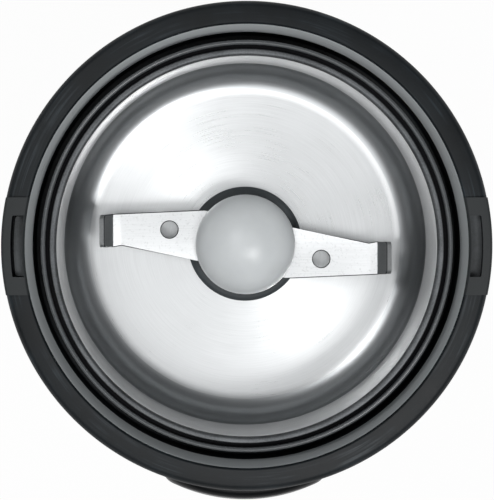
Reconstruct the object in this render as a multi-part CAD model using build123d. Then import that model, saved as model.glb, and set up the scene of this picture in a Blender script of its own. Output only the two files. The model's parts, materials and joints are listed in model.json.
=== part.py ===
from build123d import *
import math
import os

# Electric spice grinder without its lid. Millimetres, +Z up, origin on the shaft axis at table level.
# -Y is the front, where the push button is. The lugs of the rim are at +X and -X.

# --- casing ---
RIM_R = 44.0  # outside of the rim
RIM_Z = 112.0  # top of the lugs and of the bowl carrier's lip
BASE_R = 41.0  # outside of the casing at its lower edge
CASE_Z = 4.0  # lower edge of the casing
BELLY_Z = 84.0  # the casing's side is upright above this height
CASE_WALL = 1.8
JOINT_Z = 100.0  # parting line between casing and top ring
TONGUE = 1.4  # height of the casing's tongue in the top ring
LEDGE_Z = 93.0  # underside of the casing's inner ledge
LEDGE_R = 41.0
CASE_IN_R = RIM_R - CASE_WALL

# --- top ring ---
RIM_IN_R = 39.75  # inner edge of the rim
RIM_CREST_Z = 111.6
RIM_EDGE_Z = 111.1
GROOVE_R = 39.3  # outside of the lid groove at its floor
GROOVE_Z = 97.0  # floor of the lid groove
POCKET_IN_R = 40.3  # moulding pocket inside the rim
POCKET_OUT_R = 42.0
POCKET_Z = 108.5
LUG_HALF = 8.75  # half length of a lug
SLOT_HALF = 5.5  # half length of the slot in a lug
SLOT_IN_R = 40.25
SLOT_OUT_R = 42.3
SLOT_DEPTH = 2.5
RING_BOSS_R = 39.1  # pitch radius of the carrier screws
CARRIER_SCREW_ANGLES = (30, 150, 270)

# --- bowl, carrier and seal ---
LIP_R = 36.9  # outside of the carrier's lip, which the lid's skirt slides over
LIP_IN_R = 36.1
LIP_STEP = 0.5  # the cup is this much smaller than its lip
BOWL_R = 34.0  # inside of the bowl
BOWL_FLOOR_Z = 82.0
BOWL_MOUTH_Z = 111.0
BOWL_CORNER = 6.0
SHEET = 0.6  # bowl's sheet thickness
FLANGE_R = 35.45
CARRIER_FLOOR_Z = 78.0  # underside of the carrier's floor
CARRIER_FLOOR = 2.5
CARRIER_IN_R = 34.9
NECK_R = 5.6  # hole in the carrier for the seal's neck
SEAL_R = 10.8

# --- rotor ---
SHAFT_R = 3.0
SHAFT_TOP_R = 2.5
SHOULDER_Z = 86.0
BLADE_Z = 88.0
BLADE_T = 1.0
CREASE_X = 23.4  # where the blade's tips start to bend up
EDGE_ROOT = (8.9, 3.1)  # ends of the straight cutting edge of a wing
EDGE_END = (23.2, 0.25)
CAP_R = 9.3
CAP_H = 9.0
CAP_CROWN_R = 11.0  # radius of the dome's crown
CAP_SHOULDER = 4.5  # radius between crown and side
NUT_H = 3.0
RUNNING = 0.04  # radial clearance of the shaft in its bushes

# --- motor ---
STACK_Z = 42.0
STACK_H = 20.0
STACK_TOP_Z = STACK_Z + STACK_H
ARMATURE_R = 14.8
AIR_GAP = 0.4
ARMATURE_SLOTS = 12
SLOT_PITCH_R = 10.8
YOKE_IN_R = 24.0
WINDOW_HALF = 21.5  # half height of the window in the yoke
POLE_SHOE_R = 18.0
POLE_HALF = 8.0
MOTOR_SCREW_X = 27.5
COMMUTATOR_R = 9.0
COMMUTATOR_Z = 27.5
COMMUTATOR_BARS = 20
BRUSH_Z = 31.5
LOWER_ARM_Z = 21.5  # underside of the lower bracket's arms
UPPER_ARM_Z = 70.0  # underside of the upper bracket's arms
ARM_T = 3.0
BUSH_R = 5.5
BUSH_H = 6.0
HUB_R = 8.0
BUFFER_R = 28.5  # pitch radius of the rubber buffers
BUFFER_ANGLES = (90, 210, 330)
FAN_R = 20.0
FAN_Z = 12.5
FAN_BLADES = 9

# --- front button ---
BUTTON_Z = 76.0
BUTTON_W = 31.0
BUTTON_H = 16.0
BUTTON_FACE_R = 32.0  # radius of the domed face
BUTTON_Y = -49.0  # front of the dome
STEM_Z = 70.5
GUIDE_WALL = 1.35
GUIDE_FRONT_R = 44.8
GUIDE_BACK_R = 37.3
GUIDE_BACK_T = 1.0
STEP_R = 41.7  # step inside the guide that holds the button back
BUTTON_SPRING_Z = 79.0
BUTTON_SPRING_Y = -46.6  # front end of the button's spring

# --- switches and lid interlock ---
SWITCH_L = 12.8
SWITCH_W = 5.8
SWITCH_H = 6.2
SWITCH_FRONT_Y = -33.0
LID_SWITCH_Z = 55.2
LID_SWITCH_X = -36.7
PLATE_T = 1.4
INTERLOCK_IN_R = 40.45
INTERLOCK_OUT_R = 41.85
INTERLOCK_FOOT_Z = 64.0
INTERLOCK_SHELF_Z = 89.6
INTERLOCK_SEAT_Z = 80.0
INTERLOCK_SPRING_X = -38.7

# --- base ---
PLATE_Z = 3.0
PLATE_FLOOR = 2.0
FOOT_IN_R = 34.6
FOOT_OUT_R = 38.2
BASE_BOSS_R = 31.0
BASE_SCREW_ANGLES = (30, 150, 270)
AIR_SLOTS = 12
CORD_Z = 18.0
CORD_R = 3.2

FIT = 0.15  # gap between pieces that slide on each other
BIG = 120.0  # longer than any piece, for cutting tools


def section(*corners):
    """Face in the X-Z plane. A corner is (r, z) or (r, z, corner radius)."""
    points = [corner[:2] for corner in corners]
    radii = [corner[2] if len(corner) > 2 else 0 for corner in corners]
    return make_face(Plane.XZ * FilletPolyline(*points, radius=radii, close=True))


def turned(*corners):
    """Solid of revolution about Z."""
    return revolve(section(*corners), Axis.Z)


def tube(r_in, r_out, z0, z1):
    return turned((r_in, z0), (r_out, z0), (r_out, z1), (r_in, z1))


def rod(r, z0, z1, x=0.0, y=0.0):
    """Upright cylinder."""
    return Pos(x, y, z0) * Cylinder(r, z1 - z0, align=(Align.CENTER, Align.CENTER, Align.MIN))


def rod_y(r, y0, y1, x=0.0, z=0.0):
    """Cylinder that lies along Y."""
    lying = Rot(-90, 0, 0) * Cylinder(r, y1 - y0, align=(Align.CENTER, Align.CENTER, Align.MIN))
    return Pos(x, y0, z) * lying


def block(x0, x1, y0, y1, z0, z1):
    return Pos((x0 + x1) / 2, (y0 + y1) / 2, (z0 + z1) / 2) * Box(x1 - x0, y1 - y0, z1 - z0)


def polar(radius, angle):
    """X and Y of a point on a pitch circle."""
    return radius * math.cos(math.radians(angle)), radius * math.sin(math.radians(angle))


def spun(shape, angles):
    """Copies of a shape turned about Z."""
    return [Rot(0, 0, angle) * shape for angle in angles]


def around(count):
    return [360.0 * step / count for step in range(count)]


def oval_prism(width, height, y0, y1):
    """Oval block along Y, centred on the button."""
    face = Pos(0, y0, BUTTON_Z) * (Rot(-90, 0, 0) * SlotOverall(width, height))
    return extrude(face, y1 - y0, dir=(0, 1, 0))


def spring(radius, wire_r, length, turns):
    """Compression spring that stands on the origin along Z, with its ends cut flat."""
    path = Helix(length / turns, length, radius)
    coil = sweep(Plane(path @ 0, z_dir=path % 0) * Circle(wire_r), path)
    return coil & rod(radius * 2, wire_r * 0.4, length - wire_r * 0.4)


# --- casing pieces ---


def case_profile(offset):
    """Side of the casing, from its parting line down to its lower edge."""
    top = (RIM_R - offset, JOINT_Z)
    belly = (RIM_R - offset, BELLY_Z)
    foot = (BASE_R - offset, CASE_Z)
    return Line(top, belly), TangentArc(belly, foot, tangent=(0, -1))


def case_solid(offset):
    """The casing filled solid, made smaller by offset."""
    upright, curve = case_profile(offset)
    closing = Polyline(curve @ 1, (0, CASE_Z), (0, JOINT_Z), upright @ 0)
    return revolve(make_face(Plane.XZ * (upright + curve + closing)), Axis.Z)


def housing_shell():
    """Outer casing: curved wall, tongue, ledge for the carrier, screw bosses, button and cord openings."""
    shell = case_solid(0) - case_solid(CASE_WALL)
    shell += tube(CASE_IN_R, CASE_IN_R + 0.85, JOINT_Z - 1, JOINT_Z + TONGUE)
    shell += tube(LEDGE_R, CASE_IN_R + 0.5, LEDGE_Z, LEDGE_Z + 2)
    for angle in BASE_SCREW_ANGLES:
        web = block(BASE_BOSS_R, BASE_R - 0.4, -1, 1, 10.5, 20)
        boss = rod(3.2, PLATE_Z + 3.5, 22, BASE_BOSS_R)
        hole = rod(1.3, PLATE_Z + 3, 20, BASE_BOSS_R)
        shell += Rot(0, 0, angle) * (boss + web)
        shell -= Rot(0, 0, angle) * hole
    window = 2 * GUIDE_WALL + 0.5
    shell -= oval_prism(BUTTON_W + window, BUTTON_H + window, -RIM_R - 5, -RIM_R + 8)
    shell -= rod_y(5.0, BASE_R - 5, BASE_R + 5, z=CORD_Z)
    shell -= block(-CASE_IN_R - 0.01, -LEDGE_R + 1, -3.5, 3.5, LEDGE_Z - 1, LEDGE_Z + 3)
    return shell


def slot_cutter(z0, z1):
    """Curved slot of a lug, on the +X side."""
    slot = tube(SLOT_IN_R, SLOT_OUT_R, z0, z1) & block(0, BIG, -SLOT_HALF, SLOT_HALF, z0, z1)
    corners = slot.edges().filter_by(Axis.Z).sort_by(Axis.X)[-2:]
    return fillet(corners, 0.7)


def top_ring():
    """Rim of the casing with its lugs and slots and the outer wall and floor of the lid groove."""
    ring = turned(
        (RIM_R, JOINT_Z),
        (RIM_R, RIM_EDGE_Z, 1.3),
        (RIM_IN_R + 0.7, RIM_CREST_Z, 0.25),
        (RIM_IN_R, RIM_CREST_Z - 0.7),
        (GROOVE_R, GROOVE_Z, 0.4),
        (LIP_R + FIT, GROOVE_Z),
        (LIP_R + FIT, GROOVE_Z - 1.6),
        (POCKET_IN_R, GROOVE_Z - 1.6),
        (POCKET_IN_R, POCKET_Z, 0.3),
        (POCKET_OUT_R, POCKET_Z, 0.3),
        (POCKET_OUT_R, JOINT_Z + TONGUE + 0.1),
        (CASE_IN_R + 0.95, JOINT_Z + TONGUE + 0.1),
        (CASE_IN_R + 0.95, JOINT_Z),
    )
    lug = turned(
        (RIM_IN_R + 0.05, RIM_EDGE_Z - 0.7),
        (RIM_R, RIM_EDGE_Z - 0.7),
        (RIM_R, RIM_Z, 0.5),
        (RIM_IN_R + 0.7, RIM_Z, 0.2),
        (RIM_IN_R + 0.05, RIM_Z - 0.65),
    ) & block(-BIG, BIG, -LUG_HALF, LUG_HALF, 0, BIG)
    ring += lug
    for angle in CARRIER_SCREW_ANGLES:
        boss = rod(1.8, LEDGE_Z, GROOVE_Z - 0.6, RING_BOSS_R)
        hole = rod(1.15, LEDGE_Z - 1, GROOVE_Z - 0.8, RING_BOSS_R)
        ring = ring + Rot(0, 0, angle) * boss - Rot(0, 0, angle) * hole
    for side in (-1, 1):
        rib = tube(POCKET_IN_R - 0.2, POCKET_OUT_R + 0.2, GROOVE_Z, POCKET_Z + 0.2)
        rib &= block(-BIG, 0, side * 6.1 - 0.5, side * 6.1 + 0.5, 0, BIG)
        rib &= tube(POCKET_IN_R - 0.2, POCKET_OUT_R + 0.2, JOINT_Z + TONGUE + 0.2, POCKET_Z + 0.2)
        ring += rib
    ring -= slot_cutter(RIM_Z - SLOT_DEPTH, RIM_Z + 1)
    ring -= Rot(0, 0, 180) * slot_cutter(POCKET_Z - 1, RIM_Z + 1)
    return ring


def bowl_carrier():
    """Moulded cup that carries the bowl above and the motor below, with the lip that seats the lid."""
    floor_top = CARRIER_FLOOR_Z + CARRIER_FLOOR
    tube_r = LIP_R - LIP_STEP
    cup = turned(
        (NECK_R, CARRIER_FLOOR_Z),
        (tube_r, CARRIER_FLOOR_Z, 2.0),
        (tube_r, LEDGE_Z - 2),
        (LEDGE_R + 0.9, LEDGE_Z - 2),
        (LEDGE_R + 0.9, LEDGE_Z),
        (tube_r, LEDGE_Z),
        (tube_r, GROOVE_Z),
        (LIP_R, GROOVE_Z + FIT),
        (LIP_R, RIM_Z, 0.39),
        (LIP_IN_R, RIM_Z, 0.39),
        (LIP_IN_R, BOWL_MOUTH_Z - SHEET - 0.5),
        (CARRIER_IN_R, BOWL_MOUTH_Z - SHEET - 0.5),
        (CARRIER_IN_R, floor_top, 3.0),
        (NECK_R, floor_top),
    )
    cup += tube(8.6, 10.2, CARRIER_FLOOR_Z - 2.5, CARRIER_FLOOR_Z + 0.5)
    for angle in (30, 90, 150, 210, 330):
        rib = block(9.4, CARRIER_IN_R + 0.5, -0.75, 0.75, CARRIER_FLOOR_Z - 2.5, CARRIER_FLOOR_Z + 0.5)
        cup += Rot(0, 0, angle) * rib
    for angle in BUFFER_ANGLES:
        boss = rod(3.4, UPPER_ARM_Z + ARM_T + 1.5, CARRIER_FLOOR_Z + 0.5, BUFFER_R)
        hole = rod(1.2, UPPER_ARM_Z, CARRIER_FLOOR_Z + 1.2, BUFFER_R)
        cup = cup + Rot(0, 0, angle) * boss - Rot(0, 0, angle) * hole
    for angle in CARRIER_SCREW_ANGLES:
        cup -= Rot(0, 0, angle) * rod(1.3, LEDGE_Z - 3, LEDGE_Z + 1, RING_BOSS_R)
    cup -= block(-BIG, 0.25 - INTERLOCK_IN_R, -3.4, 3.4, LEDGE_Z - 3, LEDGE_Z + 1)
    shelf = block(-INTERLOCK_IN_R + 0.4, 1 - LIP_R, -2.5, 2.5, INTERLOCK_SEAT_Z - 1.5, INTERLOCK_SEAT_Z)
    cup += shelf
    for x, y in bracket_screw_places():
        cup -= rod(1.1, CARRIER_FLOOR_Z - 1, CARRIER_FLOOR_Z + 1.8, x, y)
    return cup


def carrier_screws():
    """Three screws from the carrier's flange up into the top ring."""
    screw = turned(
        (0, LEDGE_Z - 3.6),
        (2.0, LEDGE_Z - 3.6, 0.5),
        (2.0, LEDGE_Z - 2),
        (1.1, LEDGE_Z - 2),
        (1.1, GROOVE_Z - 1.3),
        (0, GROOVE_Z - 0.9),
    )
    socket = Pos(0, 0, LEDGE_Z - 3.6) * Box(3.0, 0.6, 1.2) + Pos(0, 0, LEDGE_Z - 3.6) * Box(0.6, 3.0, 1.2)
    return Compound(spun(Pos(RING_BOSS_R, 0, 0) * (screw - socket), CARRIER_SCREW_ANGLES))


def bowl():
    """Drawn steel bowl: flange, upright wall, corner radius, flat floor with a hole for the seal."""
    return turned(
        (NECK_R + 0.2, BOWL_FLOOR_Z),
        (BOWL_R, BOWL_FLOOR_Z, BOWL_CORNER),
        (BOWL_R, BOWL_MOUTH_Z, 0.8),
        (FLANGE_R, BOWL_MOUTH_Z, 0.25),
        (FLANGE_R, BOWL_MOUTH_Z - SHEET, 0.25),
        (BOWL_R + SHEET, BOWL_MOUTH_Z - SHEET, 0.2),
        (BOWL_R + SHEET, BOWL_FLOOR_Z - SHEET, BOWL_CORNER + SHEET),
        (NECK_R + 0.2, BOWL_FLOOR_Z - SHEET),
    )


def bowl_gasket():
    seat_z = BOWL_MOUTH_Z - SHEET - 0.5
    return tube(CARRIER_IN_R + 0.05, LIP_IN_R, seat_z, seat_z + 0.5)


def bowl_pad():
    """Felt ring between the carrier's floor and the bowl."""
    return tube(13, 27, CARRIER_FLOOR_Z + CARRIER_FLOOR, BOWL_FLOOR_Z - SHEET)


def shaft_seal():
    """Rubber grommet that clamps the bowl and the carrier and wipes the shaft."""
    bore = SHAFT_R + 0.35
    wiper = SHAFT_R + 0.08
    return turned(
        (bore, CARRIER_FLOOR_Z - 1.2),
        (NECK_R + 1.6, CARRIER_FLOOR_Z - 1.2, 0.5),
        (NECK_R + 1.6, CARRIER_FLOOR_Z),
        (NECK_R, CARRIER_FLOOR_Z),
        (NECK_R, BOWL_FLOOR_Z),
        (SEAL_R, BOWL_FLOOR_Z),
        (SEAL_R, BOWL_FLOOR_Z + 0.7, 0.3),
        (SEAL_R - 0.6, BOWL_FLOOR_Z + 1.2, 0.4),
        (5.8, BOWL_FLOOR_Z + 1.5, 1.0),
        (5.0, BOWL_FLOOR_Z + 3.0, 0.4),
        (wiper, BOWL_FLOOR_Z + 3.0),
        (wiper, BOWL_FLOOR_Z + 2.5),
        (bore, BOWL_FLOOR_Z + 2.2),
    )


# --- rotor pieces ---


def drive_shaft():
    shaft = turned(
        (0, FAN_Z - 0.5),
        (SHAFT_R - 0.4, FAN_Z - 0.5),
        (SHAFT_R, FAN_Z - 0.1),
        (SHAFT_R, SHOULDER_Z),
        (SHAFT_TOP_R, SHOULDER_Z),
        (SHAFT_TOP_R, BLADE_Z + BLADE_T + NUT_H + 0.6),
        (SHAFT_TOP_R - 0.4, BLADE_Z + BLADE_T + NUT_H + 1.0),
        (0, BLADE_Z + BLADE_T + NUT_H + 1.0),
    )
    for side in (-1, 1):
        low, high = sorted((side * (SHAFT_TOP_R - 0.45), side * 5))
        shaft -= block(-5, 5, low, high, SHOULDER_Z, SHOULDER_Z + 20)
    return shaft


def blade_outline():
    """Plan of the blade: a hub and two offset wings, one the half-turn copy of the other."""
    wing = Polyline(
        (4.5, -4.4),
        (7.0, -6.2),
        (8.6, -6.4),
        (28.5, -5.5),
        (28.5, 0.55),
        (24.6, 0.5),
        EDGE_END,
        EDGE_ROOT,
        (3.0, 4.5),
        (-4.5, 4.4),
        close=True,
    )
    face = make_face(wing) + Circle(7.6)
    return face + Rot(0, 0, 180) * face


def blade():
    """Stamped grinding blade with turned-up tips and ground leading edges."""
    rise = (
        (0, BLADE_Z),
        (CREASE_X, BLADE_Z, 2.5),
        (CREASE_X + 1.95, BLADE_Z + 0.65, 1.2),
        (CREASE_X + 3.55, BLADE_Z + 5.25),
        (CREASE_X + 2.65, BLADE_Z + 5.55),
        (CREASE_X + 1.2, BLADE_Z + 1.4, 0.4),
        (CREASE_X, BLADE_Z + BLADE_T, 1.5),
        (0, BLADE_Z + BLADE_T),
    )
    half = extrude(section(*rise), 8, dir=(0, -1, 0)) + extrude(section(*rise), 8, dir=(0, 1, 0))
    strip = half + Rot(0, 0, 180) * half
    tip_x = CREASE_X + 0.8
    tip = Plane.YZ * (Pos(-2.475, BLADE_Z + 1.6) * RectangleRounded(6.05, 8.0, 0.8))
    tip_prism = Pos(tip_x, 0, 0) * extrude(tip, 10, dir=(1, 0, 0))
    keep = block(-tip_x, tip_x, -9, 9, BLADE_Z - 1, BLADE_Z + 2) + tip_prism + Rot(0, 0, 180) * tip_prism
    plan = extrude(Pos(0, 0, BLADE_Z - 1) * blade_outline(), 10)
    steel = strip & plan & keep
    hole = Pos(14.2, -2.75, BLADE_Z) * Cylinder(1.57, 4)
    bore = rod(SHAFT_TOP_R + 0.02, BLADE_Z - 1, BLADE_Z + 2)
    bore &= block(-5, 5, -SHAFT_TOP_R + 0.42, SHAFT_TOP_R - 0.42, 0, BIG)
    grind = ground_edge()
    return steel - hole - Rot(0, 0, 180) * hole - bore - grind - Rot(0, 0, 180) * grind


def ground_edge():
    """Wedge that grinds the upper side of a wing's leading edge to a bevel."""
    start = Vector(*EDGE_ROOT, 0)
    end = Vector(*EDGE_END, 0)
    along = (end - start).normalized()
    edge_plane = Plane(origin=start + Vector(0, 0, BLADE_Z), x_dir=(along.Y, -along.X, 0), z_dir=along)
    wedge = Polyline((-0.3, 0.25), (1.5, 1.35), (-0.3, 1.35), close=True)
    return extrude(edge_plane * make_face(wedge), (end - start).length, dir=along)


def blade_washer():
    return turned(
        (SHAFT_TOP_R + 0.02, SHOULDER_Z),
        (4.4, SHOULDER_Z),
        (5.4, SHOULDER_Z + 1.2),
        (5.4, BLADE_Z),
        (SHAFT_TOP_R + 0.02, BLADE_Z),
    )


def blade_nut():
    nut_z = BLADE_Z + BLADE_T
    nut = extrude(Pos(0, 0, nut_z) * RegularPolygon(4.0, 6, major_radius=False), NUT_H)
    top_z = nut_z + NUT_H
    round_top = turned((0, nut_z), (5.0, nut_z), (5.0, top_z - 0.5), (4.1, top_z), (0, top_z))
    return (nut & round_top) - rod(SHAFT_TOP_R + 0.02, nut_z - 1, nut_z + NUT_H + 1)


def hub_cap():
    """Domed cap, hollow, with an inner socket that grips the nut."""
    base_z = BLADE_Z + BLADE_T
    wall = 1.4

    centre_z = base_z + CAP_H - CAP_CROWN_R
    reach = CAP_R - CAP_SHOULDER
    rise = math.sqrt((CAP_CROWN_R - CAP_SHOULDER) ** 2 - reach**2)
    turn = math.degrees(math.atan2(rise, reach))

    def dome(inset):
        crown = CenterArc((0, centre_z), CAP_CROWN_R - inset, turn, 90 - turn)
        shoulder = CenterArc((reach, centre_z + rise), CAP_SHOULDER - inset, 0, turn)
        rest = Polyline(shoulder @ 0, (CAP_R - inset, base_z), (0, base_z), crown @ 1)
        return revolve(make_face(Plane.XZ * (crown + shoulder + rest)), Axis.Z)

    cap = dome(0) - dome(wall)
    socket = tube(4.7, 5.9, base_z + 0.3, base_z + CAP_H) & dome(wall / 2)
    return cap + socket


def armature_core():
    """Armature laminations with round-bottomed winding slots."""
    core = tube(SHAFT_R, ARMATURE_R, STACK_Z, STACK_TOP_Z)
    slot = rod(1.9, STACK_Z - 1, STACK_TOP_Z + 1, SLOT_PITCH_R)
    slot += block(SLOT_PITCH_R, ARMATURE_R + 1, -0.8, 0.8, STACK_Z - 1, STACK_TOP_Z + 1)
    for cutter in spun(slot, around(ARMATURE_SLOTS)):
        core -= cutter
    return core


def armature_winding():
    """Copper winding: one bar per slot and the bundled end turns."""
    upper = ((4.2, STACK_TOP_Z), (13.4, STACK_TOP_Z, 1.0), (13.4, 67.4, 2.4), (5.4, 67.4, 1.0), (4.2, 65.5))
    lower = ((4.2, 38.5), (5.6, 37.2, 1.0), (13.0, 37.2, 2.4), (13.4, STACK_Z, 1.0), (4.2, STACK_Z))
    winding = turned(*upper) + turned(*lower)
    bar = rod(1.7, STACK_Z - 0.5, STACK_TOP_Z + 0.5, SLOT_PITCH_R)
    for copy in spun(bar, around(ARMATURE_SLOTS)):
        winding += copy
    return winding


def commutator():
    """Copper bars parted by narrow grooves, with a riser at the winding's end."""
    riser_z = COMMUTATOR_Z + 8
    drum = turned(
        (SHAFT_R, COMMUTATOR_Z),
        (COMMUTATOR_R, COMMUTATOR_Z),
        (COMMUTATOR_R, riser_z),
        (COMMUTATOR_R + 1.2, riser_z),
        (COMMUTATOR_R + 1.2, riser_z + 1.5),
        (SHAFT_R, riser_z + 1.5),
    )
    groove = block(COMMUTATOR_R - 1.2, COMMUTATOR_R + 2, -0.25, 0.25, COMMUTATOR_Z - 1, riser_z + 2)
    for cutter in spun(groove, around(COMMUTATOR_BARS)):
        drum -= cutter
    return drum


def thrust_washers():
    lower = tube(SHAFT_R, 5.4, COMMUTATOR_Z - 0.7, COMMUTATOR_Z)
    upper = tube(SHAFT_R, 5.4, 68.0, 68.8)
    return Compound([lower, upper])


def fan():
    """Cooling fan: hub, back disc and curved blades."""
    disc_z = FAN_Z + 5.3
    wheel = tube(SHAFT_R, 5.0, FAN_Z, disc_z + 1) + tube(4, FAN_R, disc_z, disc_z + 1)
    sweep_r = 13.0
    arc = Pos(sweep_r, 0) * (Circle(sweep_r + 0.5) - Circle(sweep_r - 0.5))
    arc &= Circle(FAN_R - 0.5) - Circle(4.5)
    arc &= Pos(0, 15) * Rectangle(60, 30)
    blade_piece = extrude(Pos(0, 0, FAN_Z) * arc, disc_z - FAN_Z + 0.2)
    for copy in spun(blade_piece, around(FAN_BLADES)):
        wheel += copy
    return wheel


# --- fixed motor pieces ---


def stator_stack():
    """Field laminations: yoke with two poles whose shoes follow the armature."""
    outside = RectangleRounded(62, 52, 16)
    window = Circle(YOKE_IN_R) & Rectangle(60, 2 * WINDOW_HALF)
    bore_r = ARMATURE_R + AIR_GAP
    wedge = make_face(Polyline((0, 0), polar(40, 32), (0, 60), polar(40, 148), close=True))
    shoe = (Circle(POLE_SHOE_R) - Circle(bore_r)) & wedge
    neck = Pos(0, (bore_r + 1.5 + 22) / 2) * Rectangle(2 * POLE_HALF, 22 - bore_r - 1.5)
    pole = shoe + neck
    plate = outside - window + pole + Rot(0, 0, 180) * pole
    for side in (-1, 1):
        plate -= Pos(side * MOTOR_SCREW_X, 0) * Circle(1.7)
    return extrude(Pos(0, 0, STACK_Z) * plate, STACK_H)


def field_coil(side):
    """Saddle coil around one pole: side is -1 for the front pole and 1 for the rear one."""
    centre_z = STACK_Z + STACK_H / 2
    outer = RectangleRounded(33, STACK_H + 12, 7)
    inner = RectangleRounded(2 * POLE_HALF + 1.0, STACK_H + 0.8, 1.2)
    face = Pos(0, 0, centre_z) * (Rot(90, 0, 0) * (outer - inner))
    loop = extrude(face, 30, dir=(0, side, 0))
    loop &= tube(POLE_SHOE_R + 0.3, YOKE_IN_R - 0.3, STACK_Z - 10, STACK_TOP_Z + 10)
    return loop & block(-BIG, BIG, 0.3 - WINDOW_HALF, WINDOW_HALF - 0.3, 0, BIG)


def field_coil_front():
    return field_coil(-1)


def field_coil_rear():
    return field_coil(1)


def bush_at(z0):
    """Sintered self-aligning bush with a ball-shaped outside."""
    ball = Pos(0, 0, z0 + BUSH_H / 2) * Sphere(BUSH_R)
    body = rod(BUSH_R, z0, z0 + BUSH_H) & ball
    return body - rod(SHAFT_R + RUNNING, z0 - 1, z0 + BUSH_H + 1)


def upper_bush():
    return bush_at(UPPER_ARM_Z - 0.2)


def lower_bush():
    return bush_at(LOWER_ARM_Z - 0.9)


def retainer_at(z0):
    """Spring washer with petals that press on the bush."""
    disc = tube(4.3, HUB_R - 0.4, z0, z0 + 0.5)
    notch = block(0, 5.9, -0.5, 0.5, z0 - 1, z0 + 2)
    for cutter in spun(notch, around(6)):
        disc -= cutter
    return disc


def bush_retainers():
    return Compound([retainer_at(LOWER_ARM_Z - 1.7), retainer_at(UPPER_ARM_Z + 6.0)])


def upper_bracket():
    """Cast bracket over the stator: hub, web with windows, three ears on buffers, two legs."""
    top_z = UPPER_ARM_Z + ARM_T
    hub_top = UPPER_ARM_Z + 6.0
    bracket = rod(HUB_R, UPPER_ARM_Z - 1.0, hub_top)
    bracket += tube(HUB_R - 1, 12, UPPER_ARM_Z, top_z)
    bracket += block(-MOTOR_SCREW_X, MOTOR_SCREW_X, -5, 5, UPPER_ARM_Z, top_z)
    for angle in BUFFER_ANGLES:
        ear = rod(4.6, UPPER_ARM_Z, top_z, BUFFER_R) + block(8, BUFFER_R, -3.5, 3.5, UPPER_ARM_Z, top_z)
        bracket += Rot(0, 0, angle) * ear
    for side in (-1, 1):
        bracket += rod(3.6, STACK_TOP_Z, top_z, side * MOTOR_SCREW_X)
        bracket -= rod(1.5, STACK_TOP_Z - 1, top_z + 1, side * MOTOR_SCREW_X)
    for angle in BUFFER_ANGLES:
        bracket -= Rot(0, 0, angle) * rod(2.6, UPPER_ARM_Z - 1, top_z + 1, BUFFER_R)
    bracket -= rod(BUSH_R - 0.4, UPPER_ARM_Z - 2, hub_top + 1)
    bracket -= rod(BUSH_R, UPPER_ARM_Z + 0.5, hub_top + 1)
    return bracket


def lower_bracket():
    """Cast cross below the stator: hub, two legs and two arms that carry the brush holders."""
    top_z = LOWER_ARM_Z + ARM_T
    hub_z = LOWER_ARM_Z - 1.2
    hub_top = LOWER_ARM_Z + 5.1
    bracket = rod(HUB_R, hub_z, hub_top)
    bracket += block(-MOTOR_SCREW_X, MOTOR_SCREW_X, -5, 5, LOWER_ARM_Z, top_z)
    bracket += block(-5, 5, -24, 24, LOWER_ARM_Z, top_z)
    for side in (-1, 1):
        bracket += rod(3.6, LOWER_ARM_Z, STACK_Z, side * MOTOR_SCREW_X)
        bracket -= rod(1.7, LOWER_ARM_Z - 1, STACK_Z + 1, side * MOTOR_SCREW_X)
    bracket -= rod(BUSH_R, hub_z - 1, hub_top - 0.7)
    bracket -= rod(BUSH_R - 0.4, hub_z - 1, hub_top + 1)
    return bracket


def motor_buffers():
    """Rubber rings that carry the motor under the carrier."""
    buffer = turned(
        (1.5, UPPER_ARM_Z - 1.5),
        (4.0, UPPER_ARM_Z - 1.5, 0.5),
        (4.0, UPPER_ARM_Z),
        (2.6, UPPER_ARM_Z),
        (2.6, UPPER_ARM_Z + ARM_T),
        (4.0, UPPER_ARM_Z + ARM_T),
        (4.0, UPPER_ARM_Z + ARM_T + 1.5, 0.5),
        (1.5, UPPER_ARM_Z + ARM_T + 1.5),
    )
    return Compound(spun(Pos(BUFFER_R, 0, 0) * buffer, BUFFER_ANGLES))


def buffer_screws():
    screw = turned(
        (0, UPPER_ARM_Z - 3.2),
        (2.9, UPPER_ARM_Z - 3.2, 0.6),
        (2.9, UPPER_ARM_Z - 1.5),
        (1.15, UPPER_ARM_Z - 1.5),
        (1.15, CARRIER_FLOOR_Z + 0.6),
        (0, CARRIER_FLOOR_Z + 1.0),
    )
    return Compound(spun(Pos(BUFFER_R, 0, 0) * screw, BUFFER_ANGLES))


def motor_screws():
    """Two long screws that clamp bracket, stator and bracket."""
    screw = turned(
        (0, LOWER_ARM_Z - 2.2),
        (2.8, LOWER_ARM_Z - 2.2, 0.5),
        (2.8, LOWER_ARM_Z),
        (1.5, LOWER_ARM_Z),
        (1.5, UPPER_ARM_Z + ARM_T),
        (0, UPPER_ARM_Z + ARM_T),
    )
    return Compound([Pos(side * MOTOR_SCREW_X, 0, 0) * screw for side in (-1, 1)])


def brush_holders():
    """Moulded holders with a square channel that guides each brush to the commutator."""
    body = block(-5, 5, COMMUTATOR_R + 1.5, 23.4, LOWER_ARM_Z + ARM_T, BRUSH_Z + 3.6)
    body -= block(-3.2, 3.2, COMMUTATOR_R, 22.4, BRUSH_Z - 2.2, BRUSH_Z + 2.2)
    body -= tube(0, COMMUTATOR_R + 1.6, 20, 50)
    return Compound(spun(body, (0, 180)))


def carbon_brushes():
    brush = block(-3.1, 3.1, 5, 18.5, BRUSH_Z - 2.1, BRUSH_Z + 2.1)
    brush -= tube(0, COMMUTATOR_R + 0.06, 20, 50)
    return Compound(spun(brush, (0, 180)))


def brush_springs():
    coil = Pos(0, 18.5, BRUSH_Z) * (Rot(-90, 0, 0) * spring(1.5, 0.3, 3.9, 3))
    return Compound(spun(coil, (0, 180)))


# --- front button ---


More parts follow.
